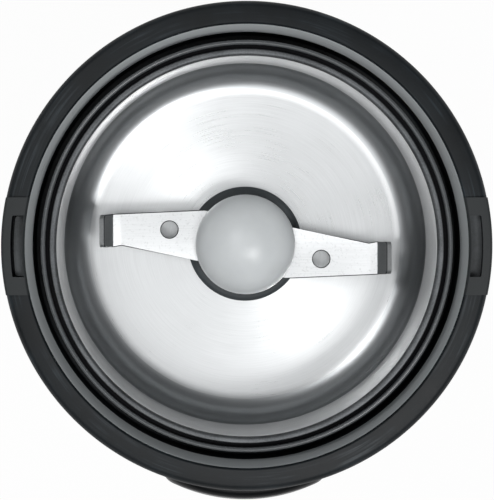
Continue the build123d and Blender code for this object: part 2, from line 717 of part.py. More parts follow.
def button_guide():
    """Frame of the front button: rim, well with a stop step, back wall with the spring's seat."""
    rim_w = BUTTON_W + 2 * GUIDE_WALL + 0.3
    rim_h = BUTTON_H + 2 * GUIDE_WALL + 0.3
    front = oval_prism(rim_w, rim_h, -RIM_R - 5, -30)
    front &= tube(STEP_R, GUIDE_FRONT_R, BUTTON_Z - 20, BUTTON_Z + 20)
    front = fillet(front.edges().filter_by(lambda e: e.center().Y < 3.2 - RIM_R).group_by(Axis.Y)[0], 0.3)
    rear = oval_prism(rim_w + 2, rim_h + 2, -RIM_R - 5, -30) & case_solid(CASE_WALL)
    rear -= rod(GUIDE_BACK_R, 0, BIG)
    guide = front + rear
    guide -= oval_prism(BUTTON_W + 0.3, BUTTON_H + 0.3, -RIM_R - 8, -30) - rod(STEP_R - 0.1, 0, BIG)
    well = oval_prism(BUTTON_W + 2.4, BUTTON_H + 2.4, -RIM_R - 8, -30)
    guide -= well & tube(GUIDE_BACK_R + GUIDE_BACK_T, STEP_R, 0, BIG)
    guide -= rod_y(2.0, -45, -30, z=STEM_Z)
    guide += rod_y(1.7, -40.4, -GUIDE_BACK_R - 0.2, z=BUTTON_SPRING_Z)
    return guide


def push_button():
    """Front button: hollow domed key, flange behind the step, stem to the switch, pin for the spring."""
    centre_y = BUTTON_Y + BUTTON_FACE_R
    key = oval_prism(BUTTON_W, BUTTON_H, -60, -38) - rod(STEP_R - 0.2, 0, BIG)
    dome = Pos(0, centre_y, BUTTON_Z) * Sphere(BUTTON_FACE_R)
    key &= dome
    key = fillet(key.edges().group_by(Axis.Y)[0], 1.2)
    flange = oval_prism(BUTTON_W + 2, BUTTON_H + 2, -60, -30) & tube(STEP_R - 1.2, STEP_R - 0.1, 0, BIG)
    hollow = oval_prism(BUTTON_W - 3.2, BUTTON_H - 3.2, -60, -30)
    hollow &= Pos(0, centre_y, BUTTON_Z) * Sphere(BUTTON_FACE_R - 1.6)
    stem = rod_y(1.6, -46, SWITCH_FRONT_Y - 2.4, z=STEM_Z)
    pin = rod_y(1.7, -48, -44.4, z=BUTTON_SPRING_Z) + rod_y(3.4, -48, BUTTON_SPRING_Y, z=BUTTON_SPRING_Z)
    rib = block(-0.6, 0.6, -46.8, -41, BUTTON_Z - 7, BUTTON_Z + 7) & dome
    rib -= rod_y(4.2, -60, -30, z=BUTTON_SPRING_Z)
    return key + flange - hollow + ((stem + pin) & dome) + rib


def button_spring():
    back_y = -GUIDE_BACK_R - GUIDE_BACK_T
    coil = spring(2.6, 0.35, back_y - BUTTON_SPRING_Y, 5)
    return Pos(0, BUTTON_SPRING_Y, BUTTON_SPRING_Z) * (Rot(-90, 0, 0) * coil)


# --- switches and interlock ---


def bracket_screw_places():
    """Where the two switch brackets are screwed to the carrier's floor."""
    return ((0, -22.5), (-30.0, 0))


def switch_body():
    """Snap switch with its button hole at the top: X is its width, Y its length, Z its height."""
    half_w = SWITCH_W / 2
    half_l = SWITCH_L / 2
    body = block(-half_w, half_w, -half_l, half_l, 0, SWITCH_H)
    body = fillet(body.edges().filter_by(Axis.X), 0.5)
    body -= block(-0.8, 0.8, -1.7, 1.7, 3.1, SWITCH_H + 1)
    for place in (-4.8, 0, 4.8):
        body += block(-0.9, 0.9, place - 0.25, place + 0.25, -3.0, 0.5)
    return body


def switch_plunger():
    """Button of a snap switch, standing 2.5 mm out of the body."""
    return block(-0.6, 0.6, -1.5, 1.5, SWITCH_H - 0.8, SWITCH_H + 2.3)


def facing_front(shape):
    """Turn a switch so that its button points to the front, behind the front button's stem."""
    turned_over = Rot(0, 0, 90) * shape
    return Pos(0, SWITCH_FRONT_Y + SWITCH_H, STEM_Z) * (Rot(90, 0, 0) * turned_over)


def under_interlock(shape):
    """Stand a switch under the interlock plunger's foot."""
    return Pos(LID_SWITCH_X, 0, LID_SWITCH_Z) * shape


def button_switch():
    return facing_front(switch_body())


def button_switch_plunger():
    return facing_front(switch_plunger())


def lid_switch():
    return under_interlock(switch_body())


def lid_switch_plunger():
    return under_interlock(switch_plunger())


def button_switch_bracket():
    """Bracket under the carrier's floor that holds the button switch between two cheeks."""
    top = STEM_Z + SWITCH_W / 2
    back_y = SWITCH_FRONT_Y + SWITCH_H
    bracket = block(-8, 8, SWITCH_FRONT_Y - 0.8, back_y + PLATE_T, top, top + PLATE_T)
    bracket += block(-8, 8, back_y, back_y + PLATE_T, top, CARRIER_FLOOR_Z)
    bracket += block(-8, 8, back_y, -19, CARRIER_FLOOR_Z - PLATE_T, CARRIER_FLOOR_Z)
    for side in (-1, 1):
        low, high = sorted((side * SWITCH_L / 2, side * (SWITCH_L / 2 + PLATE_T)))
        bracket += block(low, high, SWITCH_FRONT_Y + 1, back_y, STEM_Z - 2.4, top + 0.5)
    bracket -= rod(1.3, CARRIER_FLOOR_Z - 3, CARRIER_FLOOR_Z + 1, 0, bracket_screw_places()[0][1])
    return bracket


def lid_switch_bracket():
    """Bracket that hangs from the carrier's floor beside the motor and holds the lid switch."""
    face_x = LID_SWITCH_X + SWITCH_W / 2
    bracket = block(face_x, face_x + PLATE_T, -8, 8, LID_SWITCH_Z - 1, CARRIER_FLOOR_Z)
    bracket += block(face_x, -26.5, -8, 8, CARRIER_FLOOR_Z - PLATE_T, CARRIER_FLOOR_Z)
    for side in (-1, 1):
        low, high = sorted((side * SWITCH_L / 2, side * (SWITCH_L / 2 + PLATE_T)))
        top_z = LID_SWITCH_Z + SWITCH_H - 1
        bracket += block(LID_SWITCH_X - 2, face_x + 0.5, low, high, LID_SWITCH_Z, top_z)
    bracket -= rod(1.3, CARRIER_FLOOR_Z - 3, CARRIER_FLOOR_Z + 1, bracket_screw_places()[1][0])
    return bracket


def bracket_screws():
    head_z = CARRIER_FLOOR_Z - PLATE_T - 1.4
    screw = turned(
        (0, head_z),
        (2.2, head_z, 0.5),
        (2.2, head_z + 1.4),
        (1.1, head_z + 1.4),
        (1.1, CARRIER_FLOOR_Z + 1.2),
        (0, CARRIER_FLOOR_Z + 1.6),
    )
    return Compound([Pos(x, y, 0) * screw for x, y in bracket_screw_places()])


def interlock_plunger():
    """Lid interlock: head in the left lug's slot, thin stem, shelf for the spring, foot."""
    head_z = RIM_Z - SLOT_DEPTH
    stop_z = LEDGE_Z - 2.05
    head = tube(INTERLOCK_IN_R, INTERLOCK_OUT_R, GROOVE_Z + 0.5, head_z)
    head &= block(-BIG, 0, FIT - SLOT_HALF, SLOT_HALF - FIT, 0, BIG)
    head = fillet(head.edges().filter_by(Axis.Z).group_by(Axis.X)[0], 0.5)
    stem = tube(INTERLOCK_IN_R, INTERLOCK_OUT_R - 0.35, INTERLOCK_FOOT_Z, GROOVE_Z + 1)
    stem &= block(-BIG, 0, -3, 3, 0, BIG)
    shelf = block(-INTERLOCK_IN_R - 0.4, -37.3, -2.5, 2.5, INTERLOCK_SHELF_Z, stop_z)
    foot = block(-INTERLOCK_IN_R - 0.4, LID_SWITCH_X + 1.5, -3, 3, INTERLOCK_FOOT_Z, INTERLOCK_FOOT_Z + 2)
    return head + stem + shelf + foot


def interlock_spring():
    coil = spring(1.2, 0.25, INTERLOCK_SHELF_Z - INTERLOCK_SEAT_Z, 7)
    return Pos(INTERLOCK_SPRING_X, 0, INTERLOCK_SEAT_Z) * coil


# --- base ---


def base_plate():
    """Base: floor with radial air slots, groove for the foot ring, locating skirt, screw pads."""
    floor_top = PLATE_Z + PLATE_FLOOR
    plate = turned(
        (0, PLATE_Z),
        (FOOT_IN_R, PLATE_Z),
        (FOOT_IN_R, PLATE_Z + 1),
        (FOOT_OUT_R, PLATE_Z + 1),
        (FOOT_OUT_R, PLATE_Z),
        (BASE_R - 0.1, PLATE_Z, 0.5),
        (BASE_R - 0.1, CASE_Z),
        (BASE_R - CASE_WALL - 0.4, CASE_Z),
        (BASE_R - CASE_WALL - 0.4, floor_top + 5),
        (BASE_R - CASE_WALL - 2, floor_top + 5),
        (BASE_R - CASE_WALL - 2, floor_top),
        (0, floor_top),
    )
    slot = extrude(Pos(18.5, 0, PLATE_Z - 1) * SlotOverall(12, 2.6), PLATE_FLOOR + 2)
    for cutter in spun(slot, around(AIR_SLOTS)):
        plate -= cutter
    for angle in BASE_SCREW_ANGLES:
        pad = rod(4.2, floor_top - 0.5, floor_top + 1.5, BASE_BOSS_R)
        hole = rod(1.6, PLATE_Z - 1, floor_top + 3, BASE_BOSS_R)
        hole += rod(3.0, PLATE_Z - 1, PLATE_Z + 1.4, BASE_BOSS_R)
        plate = plate + Rot(0, 0, angle) * pad - Rot(0, 0, angle) * hole
    return plate


def base_screws():
    screw = turned(
        (0, PLATE_Z + 0.1),
        (2.8, PLATE_Z + 0.1, 0.4),
        (2.8, PLATE_Z + 1.4),
        (1.25, PLATE_Z + 1.4),
        (1.25, PLATE_Z + 14),
        (0, PLATE_Z + 15),
    )
    cross = Pos(0, 0, PLATE_Z) * Box(3.6, 0.7, 1.4) + Pos(0, 0, PLATE_Z) * Box(0.7, 3.6, 1.4)
    return Compound(spun(Pos(BASE_BOSS_R, 0, 0) * (screw - cross), BASE_SCREW_ANGLES))


def foot_ring():
    """Rubber ring that the grinder stands on."""
    return turned(
        (FOOT_IN_R, 0, 0.6),
        (FOOT_OUT_R, 0, 0.6),
        (FOOT_OUT_R, PLATE_Z + 1),
        (FOOT_IN_R, PLATE_Z + 1),
    )


def cord_bush():
    """Rubber bush of the cord opening in the rear wall."""
    bush = rod_y(4.9, 38.2, 43.2, z=CORD_Z)
    bush += rod_y(6.4, 38.2, 39.5, z=CORD_Z)
    outer = rod_y(6.4, 40.5, 43.2, z=CORD_Z)
    outer = fillet(outer.edges().group_by(Axis.Y)[-1], 0.6)
    bush += outer - case_solid(0)
    return bush - rod_y(CORD_R, 30, 50, z=CORD_Z)


PIECES = (
    housing_shell,
    top_ring,
    bowl_carrier,
    carrier_screws,
    bowl,
    bowl_gasket,
    bowl_pad,
    shaft_seal,
    drive_shaft,
    blade,
    blade_washer,
    blade_nut,
    hub_cap,
    armature_core,
    armature_winding,
    commutator,
    thrust_washers,
    fan,
    stator_stack,
    field_coil_front,
    field_coil_rear,
    upper_bush,
    lower_bush,
    bush_retainers,
    upper_bracket,
    lower_bracket,
    motor_buffers,
    buffer_screws,
    motor_screws,
    brush_holders,
    carbon_brushes,
    brush_springs,
    button_guide,
    push_button,
    button_spring,
    button_switch,
    button_switch_plunger,
    button_switch_bracket,
    lid_switch,
    lid_switch_plunger,
    lid_switch_bracket,
    bracket_screws,
    interlock_plunger,
    interlock_spring,
    base_plate,
    base_screws,
    foot_ring,
    cord_bush,
)

os.makedirs("parts", exist_ok=True)
for piece in PIECES:
    export_step(piece(), f"parts/{piece.__name__}.step")
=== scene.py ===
"""Electric spice grinder with its lid off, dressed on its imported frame.

Sizes in the classes are millimetres; the workshop turns them into metres where it makes a mesh.
The shaft's axis is Z, the table is at height 0 and the front, with the push button, is -Y.
"""

import json
import logging
import math
from dataclasses import dataclass, field, replace
from enum import Enum
from functools import cache
from typing import Any, Callable, Optional, Sequence, Union

import bmesh
import bpy
from mathutils import Matrix, Vector

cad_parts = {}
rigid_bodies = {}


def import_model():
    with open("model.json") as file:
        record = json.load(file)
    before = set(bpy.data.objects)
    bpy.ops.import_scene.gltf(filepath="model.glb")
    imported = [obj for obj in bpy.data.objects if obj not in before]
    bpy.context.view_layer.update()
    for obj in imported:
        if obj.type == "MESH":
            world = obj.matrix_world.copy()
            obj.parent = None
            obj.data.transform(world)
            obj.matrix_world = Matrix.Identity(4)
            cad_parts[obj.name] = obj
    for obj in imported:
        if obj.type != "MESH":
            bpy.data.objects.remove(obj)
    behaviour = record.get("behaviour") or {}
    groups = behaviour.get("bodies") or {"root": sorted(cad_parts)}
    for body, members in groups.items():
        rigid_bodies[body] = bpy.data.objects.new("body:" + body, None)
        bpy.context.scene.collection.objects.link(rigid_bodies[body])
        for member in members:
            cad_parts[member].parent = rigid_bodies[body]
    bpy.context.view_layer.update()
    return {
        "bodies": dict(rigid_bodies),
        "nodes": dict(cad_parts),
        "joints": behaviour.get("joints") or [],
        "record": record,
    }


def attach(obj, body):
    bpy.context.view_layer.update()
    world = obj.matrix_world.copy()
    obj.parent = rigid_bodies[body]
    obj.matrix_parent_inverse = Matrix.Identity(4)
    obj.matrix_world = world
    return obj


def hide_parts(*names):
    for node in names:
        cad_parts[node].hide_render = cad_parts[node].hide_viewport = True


MM = 0.001
ROUND = 256  # steps round a large turned piece
SMALL_ROUND = 96  # steps round a small one
SAME = 1e-8  # distance in metres under which a point counts as lying on a plane or an axis
TOUCH = 1e-7  # distance in metres under which two points are one
NEAR = 0.05  # how far a face or point may miss a limit when it is picked
UPRIGHT = 0.05  # largest Z of the normal of a face that counts as upright
CASING_R = 44.0  # outside radius of casing and rim
JOINT_Z = 100.0  # joint between casing wall and rim
BUTTON_Z = 76.0  # middle of the push button
LOG = logging.getLogger("grinder")

Triple = tuple[float, float, float]
Colour = Triple
Mesh = bmesh.types.BMesh
Depth = Callable[[float, float], float]  # Y for an X and a Z


class Lay(Enum):
    """Direction in which a metal surface was brushed."""

    ROUND_THE_AXIS = "round"
    ALONG_X = "along_x"


class Joinery(Enum):
    """Ways to combine two closed meshes."""

    CUT = "DIFFERENCE"
    JOIN = "UNION"


class Eased(Enum):
    """What a bevel works on."""

    EDGES = "EDGES"
    CORNERS = "VERTICES"


# ---------------------------------------------------------------- shader maths

Value = Union["Wire", float]
Tint = Union["Wire", Colour]


class Wire:
    """Output socket of a shader node, with arithmetic that adds Math nodes."""

    def __init__(self, bench: "Bench", socket: bpy.types.NodeSocket) -> None:
        """Wrap a socket of the bench's node tree."""
        self.bench = bench
        self.socket = socket

    def _maths(self, operation: str, *values: Value) -> "Wire":
        """Add one Math node.

        Args:
            operation: the Math node's operation.
            values: its inputs, in order.

        Returns:
            The node's result.
        """
        made = self.bench.node("ShaderNodeMath", {"operation": operation}, dict(enumerate(values)))
        return Wire(self.bench, made.outputs[0])

    def __add__(self, other: Value) -> "Wire":
        """Sum."""
        return self._maths("ADD", self, other)

    __radd__ = __add__

    def __sub__(self, other: Value) -> "Wire":
        """Difference."""
        return self._maths("SUBTRACT", self, other)

    def __rsub__(self, other: Value) -> "Wire":
        """Difference, with the wire on the right."""
        return self._maths("SUBTRACT", other, self)

    def __mul__(self, other: Value) -> "Wire":
        """Product."""
        return self._maths("MULTIPLY", self, other)

    __rmul__ = __mul__

    def __truediv__(self, other: Value) -> "Wire":
        """Quotient."""
        return self._maths("DIVIDE", self, other)

    def root(self) -> "Wire":
        """Square root."""
        return self._maths("SQRT", self)

    def sine(self) -> "Wire":
        """Sine of an angle in radians."""
        return self._maths("SINE", self)

    def larger(self, other: Value) -> "Wire":
        """The larger of the two."""
        return self._maths("MAXIMUM", self, other)

    def step(self, low: float, high: float) -> "Wire":
        """Smooth step from 0 at low to 1 at high.

        Args:
            low: value where the step begins.
            high: value where it ends.

        Returns:
            The step, between 0 and 1.
        """
        settings = {"interpolation_type": "SMOOTHSTEP"}
        sockets = {"Value": self, "From Min": low, "From Max": high}
        made = self.bench.node("ShaderNodeMapRange", settings, sockets)
        return Wire(self.bench, made.outputs[0])


class Bench:
    """Node tree of one material or of the world."""

    def __init__(self, tree: bpy.types.NodeTree) -> None:
        """Clear the tree and work on it."""
        self.tree = tree
        tree.nodes.clear()

    def node(
        self,
        kind: str,
        settings: Optional[dict[str, Any]] = None,
        sockets: Optional[dict[Union[str, int], Any]] = None,
    ) -> bpy.types.Node:
        """Add a node.

        Args:
            kind: the node's type.
            settings: its own settings, set first.
            sockets: values or wires of its inputs, by name or number.

        Returns:
            The node.
        """
        made = self.tree.nodes.new(kind)
        for key, value in (settings or {}).items():
            setattr(made, key, value)
        for key, value in (sockets or {}).items():
            if isinstance(value, Wire):
                self.tree.links.new(value.socket, made.inputs[key])
            else:
                made.inputs[key].default_value = value
        return made

    def wire(self, node: bpy.types.Node, output: Union[str, int] = 0) -> Wire:
        """Wrap an output of a node."""
        return Wire(self, node.outputs[output])

    def place(self) -> tuple[Wire, Wire, Wire]:
        """Where the surface is.

        Returns:
            X, Y and Z in metres, in the grinder's own frame.
        """
        coordinates = self.node("ShaderNodeTexCoord")
        parts = self.node("ShaderNodeSeparateXYZ", None, {0: self.wire(coordinates, "Object")})
        return self.wire(parts, 0), self.wire(parts, 1), self.wire(parts, 2)

    def vector(self, x: Value, y: Value, z: Value) -> Wire:
        """Vector from three values."""
        return self.wire(self.node("ShaderNodeCombineXYZ", None, {0: x, 1: y, 2: z}))

    def turned(self, streak: float, rate: float, core: float = 0.0) -> Wire:
        """Vector for marks that run round the grinder's axis.

        Args:
            streak: cells per radian along a mark.
            rate: cells per metre across the marks.
            core: metres added to the radius, so that it is never 0.

        Returns:
            The vector.
        """
        x, y, z = self.place()
        radius = (x * x + y * y).root() + core
        return self.vector(x / radius * streak, y / radius * streak, (radius + z) * rate)

    def noise(self, vector: Wire, scale: float, detail: float = 2.0, roughness: float = 0.5) -> Wire:
        """Noise texture.

        Args:
            vector: where it is read.
            scale: its scale, in cells per unit of the vector.
            detail: octaves of finer noise.
            roughness: how strong the finer noise is.

        Returns:
            Its value, about 0.5 on average.
        """
        sockets = {"Vector": vector, "Scale": scale, "Detail": detail, "Roughness": roughness}
        return self.wire(self.node("ShaderNodeTexNoise", {"noise_dimensions": "3D"}, sockets))

    def tint(self, factor: Wire, first: Tint, second: Tint) -> Wire:
        """Colour between two colours.

        Args:
            factor: 0 gives the first and 1 the second.
            first: linear colour.
            second: linear colour.

        Returns:
            The mixed colour.
        """
        ends = [end if isinstance(end, Wire) else (*end, 1.0) for end in (first, second)]
        settings = {"data_type": "RGBA", "clamp_factor": True}
        return self.wire(self.node("ShaderNodeMix", settings, {0: factor, 6: ends[0], 7: ends[1]}), 2)

    def bump(self, height: Wire, depth: float) -> Wire:
        """Normal from a height between 0 and 1.

        Args:
            height: the height.
            depth: its full depth in millimetres.

        Returns:
            The normal.
        """
        sockets = {"Height": height, "Strength": 1.0, "Distance": depth * MM}
        return self.wire(self.node("ShaderNodeBump", None, sockets))

    def finish(self, sockets: dict[str, Any]) -> None:
        """End the tree with one Principled shader that has these sockets."""
        shader = self.node("ShaderNodeBsdfPrincipled", None, sockets)
        self.node("ShaderNodeOutputMaterial", None, {"Surface": self.wire(shader)})


# ---------------------------------------------------------------- finishes


@dataclass(frozen=True)
class Finish:
    """A surface finish; its material is made once and shared."""

    name: str
    colour: Colour
    roughness: float = 0.5

    @cache
    def material(self) -> bpy.types.Material:
        """Make the finish's material.

        Returns:
            The material, the same one at each call.
        """
        made = bpy.data.materials.new(self.name)
        made.use_nodes = True
        made.diffuse_color = (*self.colour, 1.0)
        bench = Bench(made.node_tree)
        bench.finish(self.sockets(bench))
        return made

    def sockets(self, bench: Bench) -> dict[str, Any]:
        """Sockets of the shader; each kind of finish has its own."""
        raise NotImplementedError

    def shaded(self, factor: float) -> Colour:
        """The finish's colour made lighter or darker."""
        return tuple(min(1.0, channel * factor) for channel in self.colour)

    def mottled(self, bench: Bench, shade: Wire, share: float) -> Wire:
        """Colour that wanders to both sides of the finish's own.

        Args:
            bench: the material's node tree.
            shade: 0 where it is darkest and 1 where it is lightest.
            share: how far it wanders, as a share of the colour.

        Returns:
            The colour.
        """
        return bench.tint(shade, self.shaded(1.0 - share), self.shaded(1.0 + share))

    def uneven(self, *parts: tuple[Wire, float]) -> Wire:
        """Roughness that wanders to both sides of the finish's own.

        Args:
            parts: noises, each with the span of roughness that it adds.

        Returns:
            The roughness.
        """
        base = self.roughness - sum(span for _, span in parts) / 2
        return sum((noise * span for noise, span in parts), base)


@dataclass(frozen=True)
class Moulded(Finish):
    """Plastic or rubber from a textured mould: fine grain, faint mottling, handling marks."""

    grain: float = 0.22
    depth: float = 0.006
    mottle: float = 0.12
    marks: float = 0.0
    gloss: float = 0.5

    def sockets(self, bench: Bench) -> dict[str, Any]:
        """Sockets of the shader.

        Args:
            bench: the material's node tree.

        Returns:
            Values and wires by socket name.
        """
        where = bench.vector(*bench.place())
        grain = bench.noise(where, 1.0 / (self.grain * MM), 3.0, 0.6)
        broad = bench.noise(where, 90.0, 3.0, 0.55)
        swirl = bench.noise(bench.turned(3.0, 2600.0), 1.0, 2.0, 0.6)
        scuffs = swirl.step(0.48, 0.72) * broad.step(0.4, 0.65) * self.marks
        shade = (broad + grain * 0.35 - 0.42).step(0.0, 0.5)
        plain = self.mottled(bench, shade, self.mottle)
        return {
            "Base Color": bench.tint(scuffs, plain, self.shaded(3.5)),
            "Roughness": self.uneven((grain, 0.16), (broad, 0.14)) - scuffs * 0.12,
            "Specular IOR Level": self.gloss,
            "Normal": bench.bump(grain, self.depth),
        }


@dataclass(frozen=True)
class Polished(Finish):
    """Plastic from a polished mould: glossy, with faint turning lines and soft unevenness."""

    waviness: float = 0.012
    dust: float = 0.0
    gloss: float = 0.5

    def sockets(self, bench: Bench) -> dict[str, Any]:
        """Sockets of the shader.

        Args:
            bench: the material's node tree.

        Returns:
            Values and wires by socket name.
        """
        where = bench.vector(*bench.place())
        lines = bench.noise(bench.turned(1.0, 3200.0), 1.0, 2.0, 0.55)
        waves = bench.noise(where, 260.0, 2.0, 0.5)
        specks = bench.noise(where, 2600.0, 1.0, 0.4).step(0.71, 0.78) * self.dust
        return {
            "Base Color": bench.tint(specks, self.colour, (0.25, 0.26, 0.27)),
            "Roughness": self.uneven((lines, 0.08), (waves, 0.1)) + specks * 0.5,
            "Specular IOR Level": self.gloss,
            "Normal": bench.bump(waves + lines * 0.12, self.waviness),
        }


@dataclass(frozen=True)
class Brushed(Finish):
    """Brushed steel: fine lines in one direction, cloudy sheen and stray scratches."""

    lay: Lay = Lay.ROUND_THE_AXIS
    pitch: float = 0.16
    depth: float = 0.0012
    streak: float = 2.2
    cloud: float = 0.06
    anisotropy: float = 0.45
    speckle: float = 0.0
    metallic: float = 1.0
    core: float = 0.00001
    straight_rate: float = 60.0

    def sockets(self, bench: Bench) -> dict[str, Any]:
        """Sockets of the shader.

        Args:
            bench: the material's node tree.

        Returns:
            Values and wires by socket name.
        """
        x, y, z = bench.place()
        where = bench.vector(x, y, z)
        rate = 1.0 / (self.pitch * MM)
        if self.lay is Lay.ROUND_THE_AXIS:
            along = bench.turned(self.streak, rate, self.core)
            rotation = 0.25
        else:
            along = bench.vector(x * (self.streak * self.straight_rate), y * rate, z * rate)
            rotation = 0.0
        lines = bench.noise(along, 1.0, 3.0, 0.62)
        clouds = bench.noise(where, 75.0, 3.0, 0.5)
        specks = bench.noise(where, 2300.0, 2.0, 0.6).step(0.55, 0.72) * self.speckle
        shade = (lines * 0.6 + clouds * 0.4).step(0.3, 0.7)
        plain = self.mottled(bench, shade, self.cloud)
        return {
            "Base Color": bench.tint(specks, plain, self.shaded(0.55)),
            "Metallic": self.metallic,
            "Roughness": self.uneven((lines, 0.12), (clouds, 0.08)),
            "Anisotropic": self.anisotropy,
            "Anisotropic Rotation": rotation,
            "Normal": bench.bump(lines, self.depth),
        }


@dataclass(frozen=True)
class RawMetal(Finish):
    """Plated, cast, sintered or drawn metal: mottled colour and a fine uneven skin."""

    grain: float = 0.35
    depth: float = 0.006
    mottle: float = 0.15
    metallic: float = 1.0

    def sockets(self, bench: Bench) -> dict[str, Any]:
        """Sockets of the shader.

        Args:
            bench: the material's node tree.

        Returns:
            Values and wires by socket name.
        """
        where = bench.vector(*bench.place())
        grain = bench.noise(where, 1.0 / (self.grain * MM), 4.0, 0.65)
        broad = bench.noise(where, 160.0, 2.0, 0.5)
        shade = (grain * 0.5 + broad * 0.5).step(0.3, 0.7)
        return {
            "Base Color": self.mottled(bench, shade, self.mottle),
            "Metallic": self.metallic,
            "Roughness": self.uneven((grain, 0.18), (broad, 0.1)),
            "Normal": bench.bump(grain, self.depth),
        }


@dataclass(frozen=True)
class Stacked(Finish):
    """Stamped laminations in a stack: thin dark joints between oxidised sheets."""

    sheet: float = 0.65

    def sockets(self, bench: Bench) -> dict[str, Any]:
        """Sockets of the shader.

        Args:
            bench: the material's node tree.

        Returns:
            Values and wires by socket name.
        """
        x, y, z = bench.place()
        rust = bench.noise(bench.vector(x, y, z), 420.0, 4.0, 0.6)
        layer = (z * (2.0 * math.pi / (self.sheet * MM)) + rust * 0.6).sine() * 0.5 + 0.5
        joint = 1.0 - layer.step(0.05, 0.35)
        sheet = bench.tint(rust.step(0.35, 0.7), self.colour, (0.16, 0.11, 0.09))
        return {
            "Base Color": bench.tint(joint, sheet, (0.02, 0.02, 0.02)),
            "Metallic": 0.7,
            "Roughness": self.uneven((rust, 0.3)),
            "Normal": bench.bump(1.0 - joint, 0.03),
        }


@dataclass(frozen=True)
class Wound(Finish):
    """Enamelled copper wire laid side by side, under a thin varnish, with painted shade between the wires."""

    wire: float = 0.42

    def sockets(self, bench: Bench) -> dict[str, Any]:
        """Sockets of the shader.

        Args:
            bench: the material's node tree.

        Returns:
            Values and wires by socket name.
        """
        x, y, z = bench.place()
        where = bench.vector(x, y, z)
        drift = bench.noise(where, 180.0, 2.0, 0.5)
        phase = (x + y * 0.6 + z * 0.8) * (2.0 * math.pi / (self.wire * MM)) + drift * 9.0
        strand_and_painted_shade = phase.sine() * 0.5 + 0.5
        return {
            # Darker between the wires and lighter on their crowns: painted shade and highlight.
            "Base Color": bench.tint(strand_and_painted_shade.step(0.1, 0.7), self.shaded(0.35), self.shaded(1.1)),
            "Metallic": 0.85,
            "Roughness": self.uneven((drift, 0.2)),
            "Coat Weight": 0.3,
            "Normal": bench.bump(strand_and_painted_shade, 0.12),
        }


@dataclass(frozen=True)
class Felted(Finish):
    """Pressed felt: tangled fibres and a soft sheen."""

    def sockets(self, bench: Bench) -> dict[str, Any]:
        """Sockets of the shader.

        Args:
            bench: the material's node tree.

        Returns:
            Values and wires by socket name.
        """
        where = bench.vector(*bench.place())
        fibre = bench.noise(where, 2200.0, 6.0, 0.75)
        clump = bench.noise(where, 300.0, 3.0, 0.6)
        return {
            "Base Color": bench.tint(fibre * 0.6 + clump * 0.4, self.shaded(0.6), self.shaded(1.35)),
            "Roughness": self.roughness,
            "Sheen Weight": 0.3,
            "Normal": bench.bump(fibre, 0.15),
        }


@dataclass(frozen=True)
class MilkyDome(Finish):
    """Pale translucent plastic with a satin skin and faint depth clouds."""

    def sockets(self, bench: Bench) -> dict[str, Any]:
        """Sockets of the shader.

        Args:
            bench: the material's node tree.

        Returns:
            Values and wires by socket name.
        """
        where = bench.vector(*bench.place())
        clouds = bench.noise(where, 130.0, 3.0, 0.5)
        skin = bench.noise(where, 2400.0, 2.0, 0.5)
        return {
            "Base Color": self.mottled(bench, clouds.step(0.3, 0.7), 0.04),
            "Roughness": self.uneven((skin, 0.1), (clouds, 0.08)),
            "Subsurface Weight": 0.35,
            "Subsurface Radius": (1.0, 1.0, 0.95),
            "Subsurface Scale": 0.003,
            "Normal": bench.bump(skin, 0.002),
        }


